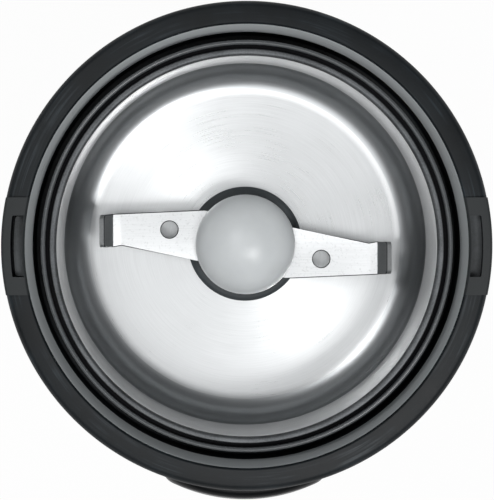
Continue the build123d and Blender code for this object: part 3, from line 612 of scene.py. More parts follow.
class Finishes:
    """The grinder's finishes."""

    CASING = Moulded("casing_black", (0.012, 0.014, 0.0155), gloss=0.3)
    RIM = Moulded(
        "rim_black", (0.0072, 0.0098, 0.0118), grain=0.28, depth=0.012, mottle=0.35, marks=0.9, gloss=0.25
    )
    LUG = Moulded("lug_grey", (0.024, 0.0275, 0.029), 0.55, grain=0.3, depth=0.01, gloss=0.3)
    SLOT_FLOOR = Moulded(
        "slot_floor_grey", (0.062, 0.068, 0.072), 0.7, grain=0.45, depth=0.05, mottle=0.45
    )
    # Light grey painted on the black groove wall and the edge above it: painted sheen.
    GROOVE_PAINTED_SHEEN = Polished("groove_painted_sheen", (0.75, 0.79, 0.8), 0.3)
    LIP = Polished("lip_satin", (0.085, 0.092, 0.097), 0.28, dust=1.0)
    CARRIER = Moulded("carrier_grey", (0.03, 0.033, 0.035))
    GASKET = Moulded("gasket_rubber", (0.004, 0.004, 0.005), 0.8, gloss=0.1)
    SEAL = Moulded("seal_rubber", (0.05, 0.058, 0.063), 0.6, grain=0.15, gloss=0.35)
    FOOT = Moulded("foot_rubber", (0.016, 0.016, 0.017), 0.75, gloss=0.25)
    KEY = Polished("key_gloss", (0.006, 0.0065, 0.0072), 0.32, waviness=0.006, gloss=0.12)
    BOWL = Brushed("bowl_brushed", (0.58, 0.59, 0.595), 0.3, anisotropy=0.6)
    # Same steel as the bowl, darker: painted shade in the corner.
    BOWL_CORNER_PAINTED_SHADE = Brushed("bowl_corner_painted_shade", (0.46, 0.475, 0.485), 0.32, anisotropy=0.2)
    # Same steel as the bowl, lighter and half diffuse: painted bright reflection on the wall.
    BOWL_WALL_PAINTED_REFLECTION = Brushed(
        "bowl_wall_painted_reflection", (0.92, 0.93, 0.935), 0.45, streak=1.6, cloud=0.14, anisotropy=0.0, metallic=0.5
    )
    BOWL_FLANGE = RawMetal("flange_grey", (0.1, 0.105, 0.11), depth=0.02, mottle=0.4)
    BLADE = Brushed(
        "blade_brushed",
        (0.6, 0.61, 0.615),
        0.3,
        lay=Lay.ALONG_X,
        pitch=0.2,
        depth=0.002,
        streak=2.0,
        anisotropy=0.3,
        speckle=0.35,
    )
    # Same steel as the blade, darker: painted shade on the turned-up tips.
    BLADE_TIP_PAINTED_SHADE = replace(
        BLADE, name="blade_tip_painted_shade", colour=(0.4, 0.41, 0.415), cloud=0.1, anisotropy=0.2, speckle=0.3
    )
    GROUND = Brushed(
        "ground_edge",
        (0.85, 0.86, 0.87),
        0.2,
        lay=Lay.ALONG_X,
        pitch=0.1,
        depth=0.001,
        streak=3.0,
        cloud=0.04,
        anisotropy=0.3,
    )
    # Dark steel on the fine bevel along the blade's outline and holes: painted shade.
    BLADE_OUTLINE_PAINTED_SHADE = replace(
        GROUND, name="blade_outline_painted_shade", colour=(0.12, 0.125, 0.13), roughness=0.4, cloud=0.1, anisotropy=0.0
    )
    CAP = MilkyDome("cap_milky", (0.73, 0.76, 0.77), 0.34)
    SHAFT = Brushed("shaft_ground", (0.55, 0.56, 0.57), 0.25, anisotropy=0.3)
    ZINC = RawMetal("zinc_plate", (0.58, 0.6, 0.63), 0.34)
    SPRING = RawMetal("spring_wire", (0.42, 0.42, 0.43), 0.3, grain=0.15, depth=0.003)
    BRONZE = RawMetal("sintered_bronze", (0.42, 0.27, 0.13), grain=0.12, depth=0.02, mottle=0.3)
    CASTING = RawMetal("die_casting", (0.55, 0.56, 0.57), grain=0.5, depth=0.02)
    GRAPHITE = RawMetal("graphite", (0.035, 0.035, 0.037), 0.55, mottle=0.3, metallic=0.3)
    COMMUTATOR = Brushed("commutator_copper", (0.75, 0.4, 0.26), 0.3, streak=4.0, cloud=0.15)
    LAMINATIONS = Stacked("laminations", (0.15, 0.15, 0.16))
    WINDING = Wound("winding_copper", (0.55, 0.2, 0.09), 0.35)
    NYLON = Moulded("natural_nylon", (0.62, 0.6, 0.54), mottle=0.05)
    SWITCH_CASE = Moulded("switch_black", (0.02, 0.02, 0.02), 0.45)
    SWITCH_TIP = Moulded("switch_red", (0.4, 0.04, 0.03), 0.4, mottle=0.08)
    FELT = Felted("pressed_felt", (0.16, 0.15, 0.14), 0.95)


# ---------------------------------------------------------------- mesh workshop


@dataclass(frozen=True)
class Corner:
    """Corner of a turned profile: radius from the axis, height, rounding and its steps."""

    r: float
    z: float
    round: float = 0.0
    steps: int = 6


class Workshop:
    """Mesh tools that the sub-assemblies share."""

    @staticmethod
    def _opening(before: Corner, here: Corner, after: Corner) -> float:
        """Angle between a corner's two sides, in radians."""
        first = Vector((before.r - here.r, before.z - here.z))
        second = Vector((after.r - here.r, after.z - here.z))
        return first.angle(second)

    @classmethod
    def section(cls, corners: Sequence[Corner]) -> Mesh:
        """Flat face in the X-Z plane with rounded corners.

        Args:
            corners: the outline, in order.

        Returns:
            A mesh with that one face.
        """
        mesh = bmesh.new()
        points = [mesh.verts.new((corner.r * MM, 0.0, corner.z * MM)) for corner in corners]
        mesh.faces.new(points)
        for number, (point, corner) in enumerate(zip(points, corners)):
            if corner.round > 0.0:
                after = corners[(number + 1) % len(corners)]
                reach = corner.round / math.tan(cls._opening(corners[number - 1], corner, after) / 2)
                cls.bevel(mesh, [point], reach, corner.steps, Eased.CORNERS)
        return mesh

    @staticmethod
    def bevel(
        mesh: Mesh,
        items: Sequence[Any],
        width: float,
        steps: int,
        what: Eased = Eased.EDGES,
        number: int = -1,
    ) -> None:
        """Bevel edges or corners.

        Args:
            mesh: the mesh that is worked on.
            items: its edges or its vertices.
            width: width of the bevel.
            steps: segments of the bevel.
            what: whether the items are edges or corners.
            number: material number of the new faces; -1 keeps that of their neighbours.
        """
        bmesh.ops.bevel(
            mesh,
            geom=items,
            offset=width * MM,
            offset_type="OFFSET",
            segments=steps,
            profile=0.5,
            affect=what.value,
            material=number,
        )

    @classmethod
    def turn(
        cls, corners: Sequence[Corner], steps: int = ROUND, begin: float = 0.0, sweep: float = 360.0
    ) -> Mesh:
        """Turn a profile about Z.

        Args:
            corners: the profile's outline.
            steps: steps of the turn.
            begin: angle where it begins, in degrees.
            sweep: angle that it covers, in degrees.

        Returns:
            The closed solid.
        """
        mesh = cls.section(corners)
        whole = sweep >= 360.0
        if whole:
            bmesh.ops.delete(mesh, geom=mesh.faces[:], context="FACES_ONLY")
            on_axis = [e for e in mesh.edges if all(abs(v.co.x) < SAME for v in e.verts)]
            bmesh.ops.delete(mesh, geom=on_axis, context="EDGES")
        bmesh.ops.rotate(mesh, verts=mesh.verts[:], matrix=Matrix.Rotation(math.radians(begin), 3, "Z"))
        bmesh.ops.spin(
            mesh,
            geom=mesh.verts[:] + mesh.edges[:] + mesh.faces[:],
            cent=(0, 0, 0),
            axis=(0, 0, 1),
            dvec=(0, 0, 0),
            angle=math.radians(sweep),
            steps=steps,
            use_merge=whole,
        )
        bmesh.ops.remove_doubles(mesh, verts=mesh.verts[:], dist=TOUCH)
        bmesh.ops.recalc_face_normals(mesh, faces=mesh.faces[:])
        return mesh

    @staticmethod
    def ring_of_oval(
        mesh: Mesh,
        width: float,
        height: float,
        inset: float,
        depth: Depth,
        steps: int = SMALL_ROUND,
        cuts: int = 7,
    ) -> list[bmesh.types.BMEdge]:
        """Loop of edges round an oval with straight long sides, in the X-Z plane.

        Args:
            mesh: where the loop is added.
            width: the oval's whole width.
            height: its height, twice the radius of its ends.
            inset: how far inside the oval the loop runs.
            depth: Y for an X and a Z counted from the oval's middle.
            steps: points of the circle that the oval is drawn out from.
            cuts: points that are added on each straight stretch.

        Returns:
            The loop's edges.
        """
        half = (width - height) / 2 * MM
        verts = bmesh.ops.create_circle(mesh, segments=steps, radius=(height / 2 - inset) * MM)["verts"]
        for vert in verts:
            if abs(vert.co.x) > TOUCH:
                vert.co.x += math.copysign(half, vert.co.x)
        for edge in {edge for vert in verts for edge in vert.link_edges if edge.calc_length() > half}:
            rest, corner = edge, edge.verts[0]
            for left in range(cuts, 0, -1):
                other = rest.other_vert(corner)
                corner = bmesh.utils.edge_split(rest, corner, 1 / (left + 1))[1]
                verts.append(corner)
                rest = next(e for e in corner.link_edges if e.other_vert(corner) is other)
        for vert in verts:
            across, up = vert.co.x / MM, vert.co.y / MM
            vert.co = Vector((across, depth(across, up), up)) * MM
        return list({edge for vert in verts for edge in vert.link_edges})

    @classmethod
    def oval_shell(
        cls,
        width: float,
        height: float,
        rings: Sequence[tuple[float, Depth]],
        centre_z: float = 0.0,
        closed: bool = False,
    ) -> Mesh:
        """Skin over a row of oval loops.

        Args:
            width: the oval's width.
            height: the oval's height.
            rings: inset and depth of each loop, in order.
            centre_z: height of the oval's middle.
            closed: whether the last loop joins the first; otherwise both end loops are filled.

        Returns:
            The closed solid.
        """
        mesh = bmesh.new()
        loops = [cls.ring_of_oval(mesh, width, height, inset, depth) for inset, depth in rings]
        for first, second in zip(loops, loops[1:]):
            bmesh.ops.bridge_loops(mesh, edges=first + second)
        if closed:
            bmesh.ops.bridge_loops(mesh, edges=loops[-1] + loops[0])
        else:
            filled = [bmesh.ops.contextual_create(mesh, geom=loop)["faces"] for loop in (loops[0], loops[-1])]
            bmesh.ops.triangulate(
                mesh, faces=filled[0] + filled[1], quad_method="BEAUTY", ngon_method="BEAUTY"
            )
        bmesh.ops.translate(mesh, verts=mesh.verts[:], vec=(0, 0, centre_z * MM))
        bmesh.ops.recalc_face_normals(mesh, faces=mesh.faces[:])
        return mesh

    @classmethod
    def oval_bar(cls, size: tuple[float, float], ends: tuple[float, float], centre_z: float = 0.0) -> Mesh:
        """Bar along Y with an oval section.

        Args:
            size: the oval's width and height.
            ends: Y of the bar's two ends.
            centre_z: height of the oval's middle.

        Returns:
            The closed solid.
        """
        return cls.oval_shell(*size, [(0.0, lambda x, z, y=y: y) for y in ends], centre_z)

    @staticmethod
    def quarter(radius: float, steps: int) -> list[tuple[float, float]]:
        """Quarter of a circle that rounds an edge.

        Args:
            radius: radius of the rounding.
            steps: its segments.

        Returns:
            How far each point lies inside the side and behind the front, from side to front.
        """
        turns = [math.radians(90 * step / steps) for step in range(steps + 1)]
        return [(radius * (1 - math.cos(turn)), radius * (1 - math.sin(turn))) for turn in turns]

    @staticmethod
    def rod(
        radius: float, low: float, high: float, x: float = 0.0, y: float = 0.0, steps: int = 64
    ) -> Mesh:
        """Upright cylinder.

        Args:
            radius: its radius.
            low: height of its lower end.
            high: height of its upper end.
            x: X of its axis.
            y: Y of its axis.
            steps: sides.

        Returns:
            The closed solid.
        """
        mesh = bmesh.new()
        place = Matrix.Translation((x * MM, y * MM, (low + high) / 2 * MM))
        bmesh.ops.create_cone(
            mesh,
            cap_ends=True,
            segments=steps,
            radius1=radius * MM,
            radius2=radius * MM,
            depth=(high - low) * MM,
            matrix=place,
        )
        return mesh

    @staticmethod
    def rotation(degrees: float, axis: str = "Z") -> Matrix:
        """Turn about an axis."""
        return Matrix.Rotation(math.radians(degrees), 4, axis)

    @staticmethod
    def move(mesh: Mesh, matrix: Matrix) -> Mesh:
        """Apply a transform.

        Args:
            mesh: the mesh.
            matrix: the transform, whose shift is in millimetres.

        Returns:
            The same mesh.
        """
        scaled = matrix.copy()
        scaled.translation = matrix.translation * MM
        bmesh.ops.transform(mesh, matrix=scaled, verts=mesh.verts[:])
        return mesh

    @classmethod
    def to_side(cls, mesh: Mesh, side: int) -> Mesh:
        """Put a piece made for the right on the right (1) or, half a turn on, on the left (-1)."""
        return mesh if side > 0 else cls.move(mesh, cls.rotation(180))

    @staticmethod
    def merged(*meshes: Mesh) -> Mesh:
        """Put several meshes in one, without joining their surfaces.

        Args:
            meshes: the meshes; they are used up.

        Returns:
            The new mesh.
        """
        whole = bmesh.new()
        for mesh in meshes:
            data = bpy.data.meshes.new("part")
            mesh.to_mesh(data)
            mesh.free()
            whole.from_mesh(data)
            bpy.data.meshes.remove(data)
        return whole

    @staticmethod
    def stand(mesh: Mesh, name: str = "loose") -> bpy.types.Object:
        """Make an object of a mesh and put it in the scene.

        Args:
            mesh: the mesh; it is used up.
            name: the object's name.

        Returns:
            The object.
        """
        data = bpy.data.meshes.new(name)
        mesh.to_mesh(data)
        mesh.free()
        made = bpy.data.objects.new(name, data)
        bpy.context.scene.collection.objects.link(made)
        return made

    @classmethod
    def combine(cls, body: Mesh, tool: Mesh, how: Joinery = Joinery.CUT) -> Mesh:
        """Cut one closed mesh with another, or join them.

        Args:
            body: the mesh that is worked on; it is used up.
            tool: the mesh that cuts or is added; it is used up.
            how: whether to cut or join.

        Returns:
            The new mesh.
        """
        first, second = cls.stand(body), cls.stand(tool)
        modifier = first.modifiers.new("joinery", "BOOLEAN")
        modifier.operation = how.value
        modifier.solver = "EXACT"
        modifier.object = second
        result = bmesh.new()
        result.from_object(first, bpy.context.evaluated_depsgraph_get())
        for used in (first, second):
            data = used.data
            bpy.data.objects.remove(used)
            bpy.data.meshes.remove(data)
        return result

    @staticmethod
    def slice(
        mesh: Mesh, point: Triple, away: Triple, clear: bool = True
    ) -> list[bmesh.types.BMEdge]:
        """Cut a mesh with a plane.

        Args:
            mesh: the mesh.
            point: point on the plane.
            away: the plane's normal.
            clear: whether what lies on that side is removed.

        Returns:
            The edges along the cut.
        """
        cut = bmesh.ops.bisect_plane(
            mesh,
            geom=mesh.verts[:] + mesh.edges[:] + mesh.faces[:],
            plane_co=Vector(point) * MM,
            plane_no=away,
            clear_outer=clear,
            dist=SAME,
        )
        return [item for item in cut["geom_cut"] if isinstance(item, bmesh.types.BMEdge)]

    @classmethod
    def trim_ends(cls, mesh: Mesh, half: float) -> None:
        """Cut a solid square at both ends and close the cuts.

        Args:
            mesh: the solid.
            half: how far it reaches along Y to either side.
        """
        for way in (-1, 1):
            bmesh.ops.edgeloop_fill(mesh, edges=cls.slice(mesh, (0, way * half, 0), (0, way, 0)))
            bmesh.ops.recalc_face_normals(mesh, faces=mesh.faces[:])

    @staticmethod
    def lift(mesh: Mesh, made: dict[str, Any], height: float) -> None:
        """Raise what an extrusion has made.

        Args:
            mesh: the mesh.
            made: the extrusion's result.
            height: how far it is raised.
        """
        verts = [item for item in made["geom"] if isinstance(item, bmesh.types.BMVert)]
        bmesh.ops.translate(mesh, verts=verts, vec=(0, 0, height * MM))
        bmesh.ops.recalc_face_normals(mesh, faces=mesh.faces[:])


@dataclass
class Assembly:
    """A sub-assembly: builds its pieces and puts them on the frame."""

    frame: dict[str, Any]

    def place(
        self,
        name: str,
        mesh: Mesh,
        finishes: Sequence[Finish],
        slot: str,
        body: str = "housing",
        stands_for: Sequence[str] = (),
        crease: float = 32.0,
    ) -> bpy.types.Object:
        """Make a mesh a piece of the grinder.

        Args:
            name: the piece's name.
            mesh: its mesh, in the grinder's own frame.
            finishes: its finishes, in the order of its faces' material numbers.
            slot: the record's material slot; not used.
            body: the body that it rides on.
            stands_for: the nodes that it replaces.
            crease: angle above which an edge stays sharp, in degrees.

        Returns:
            The object.
        """
        made = Workshop.stand(mesh, name)
        data = made.data
        for finish in finishes:
            data.materials.append(finish.material())
        data.polygons.foreach_set("use_smooth", [True] * len(data.polygons))
        data.set_sharp_from_angle(angle=math.radians(crease))
        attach(made, body)
        if stands_for:
            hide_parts(*stands_for)
        LOG.info("%s: %d faces on %s", name, len(data.polygons), body)
        return made

    def dress(self, finish: Finish, *nodes: str) -> None:
        """Give nodes of the frame a finish.

        Args:
            finish: the finish.
            nodes: the nodes' names.
        """
        for node in nodes:
            found = self.frame["nodes"][node]
            if not found.material_slots:
                found.data.materials.append(None)
            for slot in found.material_slots:
                slot.link = "OBJECT"
                slot.material = finish.material()
            LOG.info("%s: dressed in %s", node, finish.name)


# ---------------------------------------------------------------- sub-assemblies


@dataclass
class Casing(Assembly):
    """Casing wall, base, foot ring and cord bush."""

    belly_z: float = 84.0
    lower_r: float = 41.0
    lower_z: float = 4.0
    wall: float = 1.8
    step_depth: float = 0.9
    step_height: float = 1.4
    curve_steps: int = 14
    button_oval: tuple[float, float] = (34.2, 19.2)
    tool_y: tuple[float, float] = (-50.0, -34.0)
    plate_r: float = 40.9
    plate_z: tuple[float, float] = (3.0, 5.0)
    collar_r: tuple[float, float] = (37.2, 38.8)
    collar_z: float = 10.0
    air_slots: int = 12
    air_slot: tuple[float, float] = (12.0, 2.6)
    air_slot_r: float = 18.5
    screw_angles: tuple[int, ...] = (30, 150, 270)
    screw_circle_r: float = 31.0
    recess_r: float = 3.0
    recess_z: tuple[float, float] = (1.0, 4.4)
    foot_r: tuple[float, float] = (34.6, 38.2)
    foot_top: float = 4.0
    cord_z: float = 18.0
    cord_hole_r: float = 5.0
    cord_r: float = 3.2
    bush_neck_r: float = 4.9
    bush_flange_r: float = 6.4
    bush_y: tuple[float, float, float, float] = (38.2, 39.5, 41.0, 43.2)

    def side(self, z: float) -> float:
        """Outside radius of the casing, whose wall is an arc below the belly.

        Args:
            z: the height.

        Returns:
            The radius there.
        """
        if z >= self.belly_z:
            return CASING_R
        sag, drop = CASING_R - self.lower_r, self.belly_z - self.lower_z
        bend = (sag * sag + drop * drop) / (2 * sag)
        return CASING_R - bend + math.sqrt(bend * bend - (self.belly_z - z) ** 2)

    def wall_mesh(self) -> Mesh:
        """Curved wall with the openings for the button's frame and the cord bush.

        Returns:
            The closed solid.
        """
        drop, step_z = self.belly_z - self.lower_z, JOINT_Z + self.step_height
        heights = [
            self.lower_z + drop * step / self.curve_steps for step in range(1, self.curve_steps + 1)
        ]
        corners = [
            Corner(self.lower_r, self.lower_z, 0.5),
            *[Corner(self.side(z), z) for z in heights],
            Corner(CASING_R, JOINT_Z, 0.22, 3),
            Corner(CASING_R - self.step_depth, JOINT_Z),
            Corner(CASING_R - self.step_depth, step_z),
            Corner(CASING_R - self.wall, step_z),
            *[Corner(self.side(z) - self.wall, z) for z in reversed(heights)],
            Corner(self.lower_r - self.wall, self.lower_z),
        ]
        opening = Workshop.oval_bar(self.button_oval, self.tool_y, BUTTON_Z)
        hole = Workshop.rod(self.cord_hole_r, *self.tool_y)
        Workshop.move(hole, Matrix.Translation((0, 0, self.cord_z)) @ Workshop.rotation(90, "X"))
        return Workshop.combine(Workshop.turn(corners), Workshop.merged(opening, hole))

    def base_mesh(self) -> Mesh:
        """Base plate with radial air slots and recessed screw holes.

        Returns:
            The closed solid.
        """
        under, top = self.plate_z
        foot_in, foot_out = self.foot_r
        collar_in, collar_out = self.collar_r
        plate = Workshop.turn(
            [
                Corner(0, under),
                Corner(foot_in, under),
                Corner(foot_in, self.foot_top),
                Corner(foot_out, self.foot_top),
                Corner(foot_out, under),
                Corner(self.plate_r, under, 0.5),
                Corner(self.plate_r, self.lower_z),
                Corner(collar_out, self.lower_z),
                Corner(collar_out, self.collar_z),
                Corner(collar_in, self.collar_z),
                Corner(collar_in, top, 0.6),
                Corner(0, top),
            ],
            ROUND // 2,
        )
        tools = []
        outward = Matrix.Translation((self.air_slot_r, 0, (under + top) / 2)) @ Workshop.rotation(90, "X")
        for number in range(self.air_slots):
            slot = Workshop.oval_bar(self.air_slot, (under - top, top - under))
            tools.append(Workshop.move(slot, Workshop.rotation(360 * number / self.air_slots) @ outward))
        for angle in self.screw_angles:
            x, y, _ = Workshop.rotation(angle) @ Vector((self.screw_circle_r, 0, 0))
            tools.append(Workshop.rod(self.recess_r, *self.recess_z, x, y))
        return Workshop.combine(plate, Workshop.merged(*tools))

    def foot_mesh(self) -> Mesh:
        """Rubber ring that the grinder stands on.

        Returns:
            The closed solid.
        """
        inner, outer = self.foot_r
        under = [Corner(inner, 0, 0.6), Corner(outer, 0, 0.6)]
        return Workshop.turn([*under, Corner(outer, self.foot_top), Corner(inner, self.foot_top)], ROUND // 2)

    def cord_bush_mesh(self) -> Mesh:
        """Bush of the cord opening: flanges inside and outside the wall.

        Returns:
            The closed solid.
        """
        back, inside, outside, front = self.bush_y
        bush = Workshop.turn(
            [
                Corner(self.cord_r, back, 0.2, 2),
                Corner(self.bush_flange_r, back, 0.4, 3),
                Corner(self.bush_flange_r, inside),
                Corner(self.bush_neck_r, inside),
                Corner(self.bush_neck_r, outside),
                Corner(self.bush_flange_r, outside),
                Corner(self.bush_flange_r, front, 0.7),
                Corner(self.cord_r, front, 0.5, 4),
            ],
            SMALL_ROUND,
        )
        return Workshop.move(bush, Matrix.Translation((0, 0, self.cord_z)) @ Workshop.rotation(-90, "X"))

    def build(self) -> None:
        """Build and dress the casing's pieces."""
        plastic, rubber = [Finishes.CASING], [Finishes.FOOT]
        self.place("casing_wall", self.wall_mesh(), plastic, "casing_plastic", stands_for=["housing_shell"])
        self.place("base", self.base_mesh(), plastic, "casing_plastic", stands_for=["base_plate"])
        self.place("foot", self.foot_mesh(), rubber, "foot_rubber", stands_for=["foot_ring"])
        self.place("cord_grommet", self.cord_bush_mesh(), rubber, "foot_rubber", stands_for=["cord_bush"])
        self.dress(Finishes.ZINC, "base_screws")


@dataclass
class Rim(Assembly):
    """Top ring with the lid groove's outer wall, the lugs and their slots."""

    inner_r: float = 39.75
    shoulder_z: float = 111.1
    crest_z: float = 111.6
    chamfer: float = 0.4
    groove_r: float = 38.65
    groove_z: float = 106.3
    groove_flare: float = 0.1
    groove_floor_z: float = 97.0
    groove_floor_r: float = 37.05
    groove_floor_under: float = 95.4
    hollow_r: tuple[float, float] = (40.3, 42.0)
    hollow_z: float = 108.5
    spigot_r: float = 43.15
    spigot_z: float = 101.5
    lug_root_z: float = 110.4
    lug_z: float = 112.0
    lug_half: float = 8.75
    lug_angle: float = 14.0
    lug_set_back: float = 0.02
    slot_in: float = 40.25
    slot_out: float = 42.3
    slot_half: float = 5.5
    slot_angle: float = 10.0
    slot_corner: float = 0.7
    blind_floor: float = 109.5
    plunger_floor: float = 107.5
    above: float = 114.0
    sector_steps: int = 48

    def ring_mesh(self) -> Mesh:
        """The turned ring.

        Returns:
            The closed solid.
        """
        hollow_in, hollow_out = self.hollow_r
        return Workshop.turn(
            [
                Corner(CASING_R, JOINT_Z, 0.22, 3),
                Corner(CASING_R, self.shoulder_z, 1.3, 8),
                Corner(self.inner_r + self.chamfer, self.crest_z, 0.15, 4),
                Corner(self.inner_r, self.crest_z - self.chamfer, 0.15, 3),
                Corner(self.groove_r, self.groove_z, 0.5, 4),
                Corner(self.groove_r + self.groove_flare, self.groove_floor_z, 0.4, 4),
                Corner(self.groove_floor_r, self.groove_floor_z),
                Corner(self.groove_floor_r, self.groove_floor_under),
                Corner(hollow_in, self.groove_floor_under),
                Corner(hollow_in, self.hollow_z),
                Corner(hollow_out, self.hollow_z),
                Corner(hollow_out, self.spigot_z),
                Corner(self.spigot_r, self.spigot_z),
                Corner(self.spigot_r, JOINT_Z),
            ],
            ROUND * 2,
        )

    def lug_mesh(self, side: int) -> Mesh:
        """One flat lug, whose ends are cut square.

        Args:
            side: 1 for the right and -1 for the left.

        Returns:
            The closed solid.
        """
        foot_r = self.inner_r + self.lug_set_back
        lug = Workshop.turn(
            [
                Corner(foot_r, self.lug_root_z),
                Corner(CASING_R, self.lug_root_z),
                Corner(CASING_R, self.lug_z, 0.5, 5),
                Corner(self.inner_r + self.chamfer, self.lug_z, 0.15, 3),
                Corner(foot_r, self.lug_z - self.chamfer),
            ],
            self.sector_steps,
            -self.lug_angle,
            2 * self.lug_angle,
        )
        Workshop.trim_ends(lug, self.lug_half)
        return Workshop.to_side(lug, side)

    def slot_tool(self, side: int, floor: float) -> Mesh:
        """Solid that cuts one slot.

        Args:
            side: 1 for the right and -1 for the left.
            floor: height of the slot's floor.

        Returns:
            The closed solid.
        """
        tool = Workshop.turn(
            [
                Corner(self.slot_in, floor),
                Corner(self.slot_out, floor),
                Corner(self.slot_out, self.above),
                Corner(self.slot_in, self.above),
            ],
            self.sector_steps,
            -self.slot_angle,
            2 * self.slot_angle,
        )
        Workshop.trim_ends(tool, self.slot_half)
        middle_r = (self.slot_in + self.slot_out) / 2
        posts = [
            edge
            for edge in tool.edges
            if abs(edge.verts[0].co.z - edge.verts[1].co.z) > MM
            and abs(abs(edge.verts[0].co.y) - self.slot_half * MM) < NEAR * MM
            and edge.verts[0].co.xy.length > middle_r * MM
        ]
        Workshop.bevel(tool, posts, self.slot_corner, 5)
        return Workshop.to_side(tool, side)

    def finish_faces(self, mesh: Mesh) -> None:
        """Number the faces: 0 rim top, 1 groove wall, painted light grey as its sheen, 2 lug, 3 floor of the
        blind slot.

        Args:
            mesh: the finished rim.
        """
        for face in mesh.faces:
            middle = face.calc_center_median() / MM
            radius = middle.xy.length
            on_lug = abs(middle.y) < self.lug_half + NEAR
            in_slot = on_lug and self.slot_in < radius < self.slot_out
            on_wall = self.groove_z < middle.z < self.crest_z - self.chamfer + NEAR
            # The groove wall takes the light grey that paints its sheen.
            if on_wall and radius < self.inner_r + 2 * NEAR:
                face.material_index = 1
            elif on_lug and middle.z > self.crest_z + 2 * NEAR:
                face.material_index = 2
            elif in_slot and abs(middle.z - self.blind_floor) < NEAR:
                face.material_index = 3

    def build(self) -> None:
        """Build the rim; the left slot is cut deeper, for the interlock's plunger."""
        ring = self.ring_mesh()
        for side in (-1, 1):
            ring = Workshop.combine(ring, self.lug_mesh(side), Joinery.JOIN)
        for side, floor in ((1, self.blind_floor), (-1, self.plunger_floor)):
            ring = Workshop.combine(ring, self.slot_tool(side, floor))
        self.finish_faces(ring)
        finishes = [Finishes.RIM, Finishes.GROOVE_PAINTED_SHEEN, Finishes.LUG, Finishes.SLOT_FLOOR]
        self.place("rim", ring, finishes, "casing_plastic", stands_for=["top_ring"], crease=30)


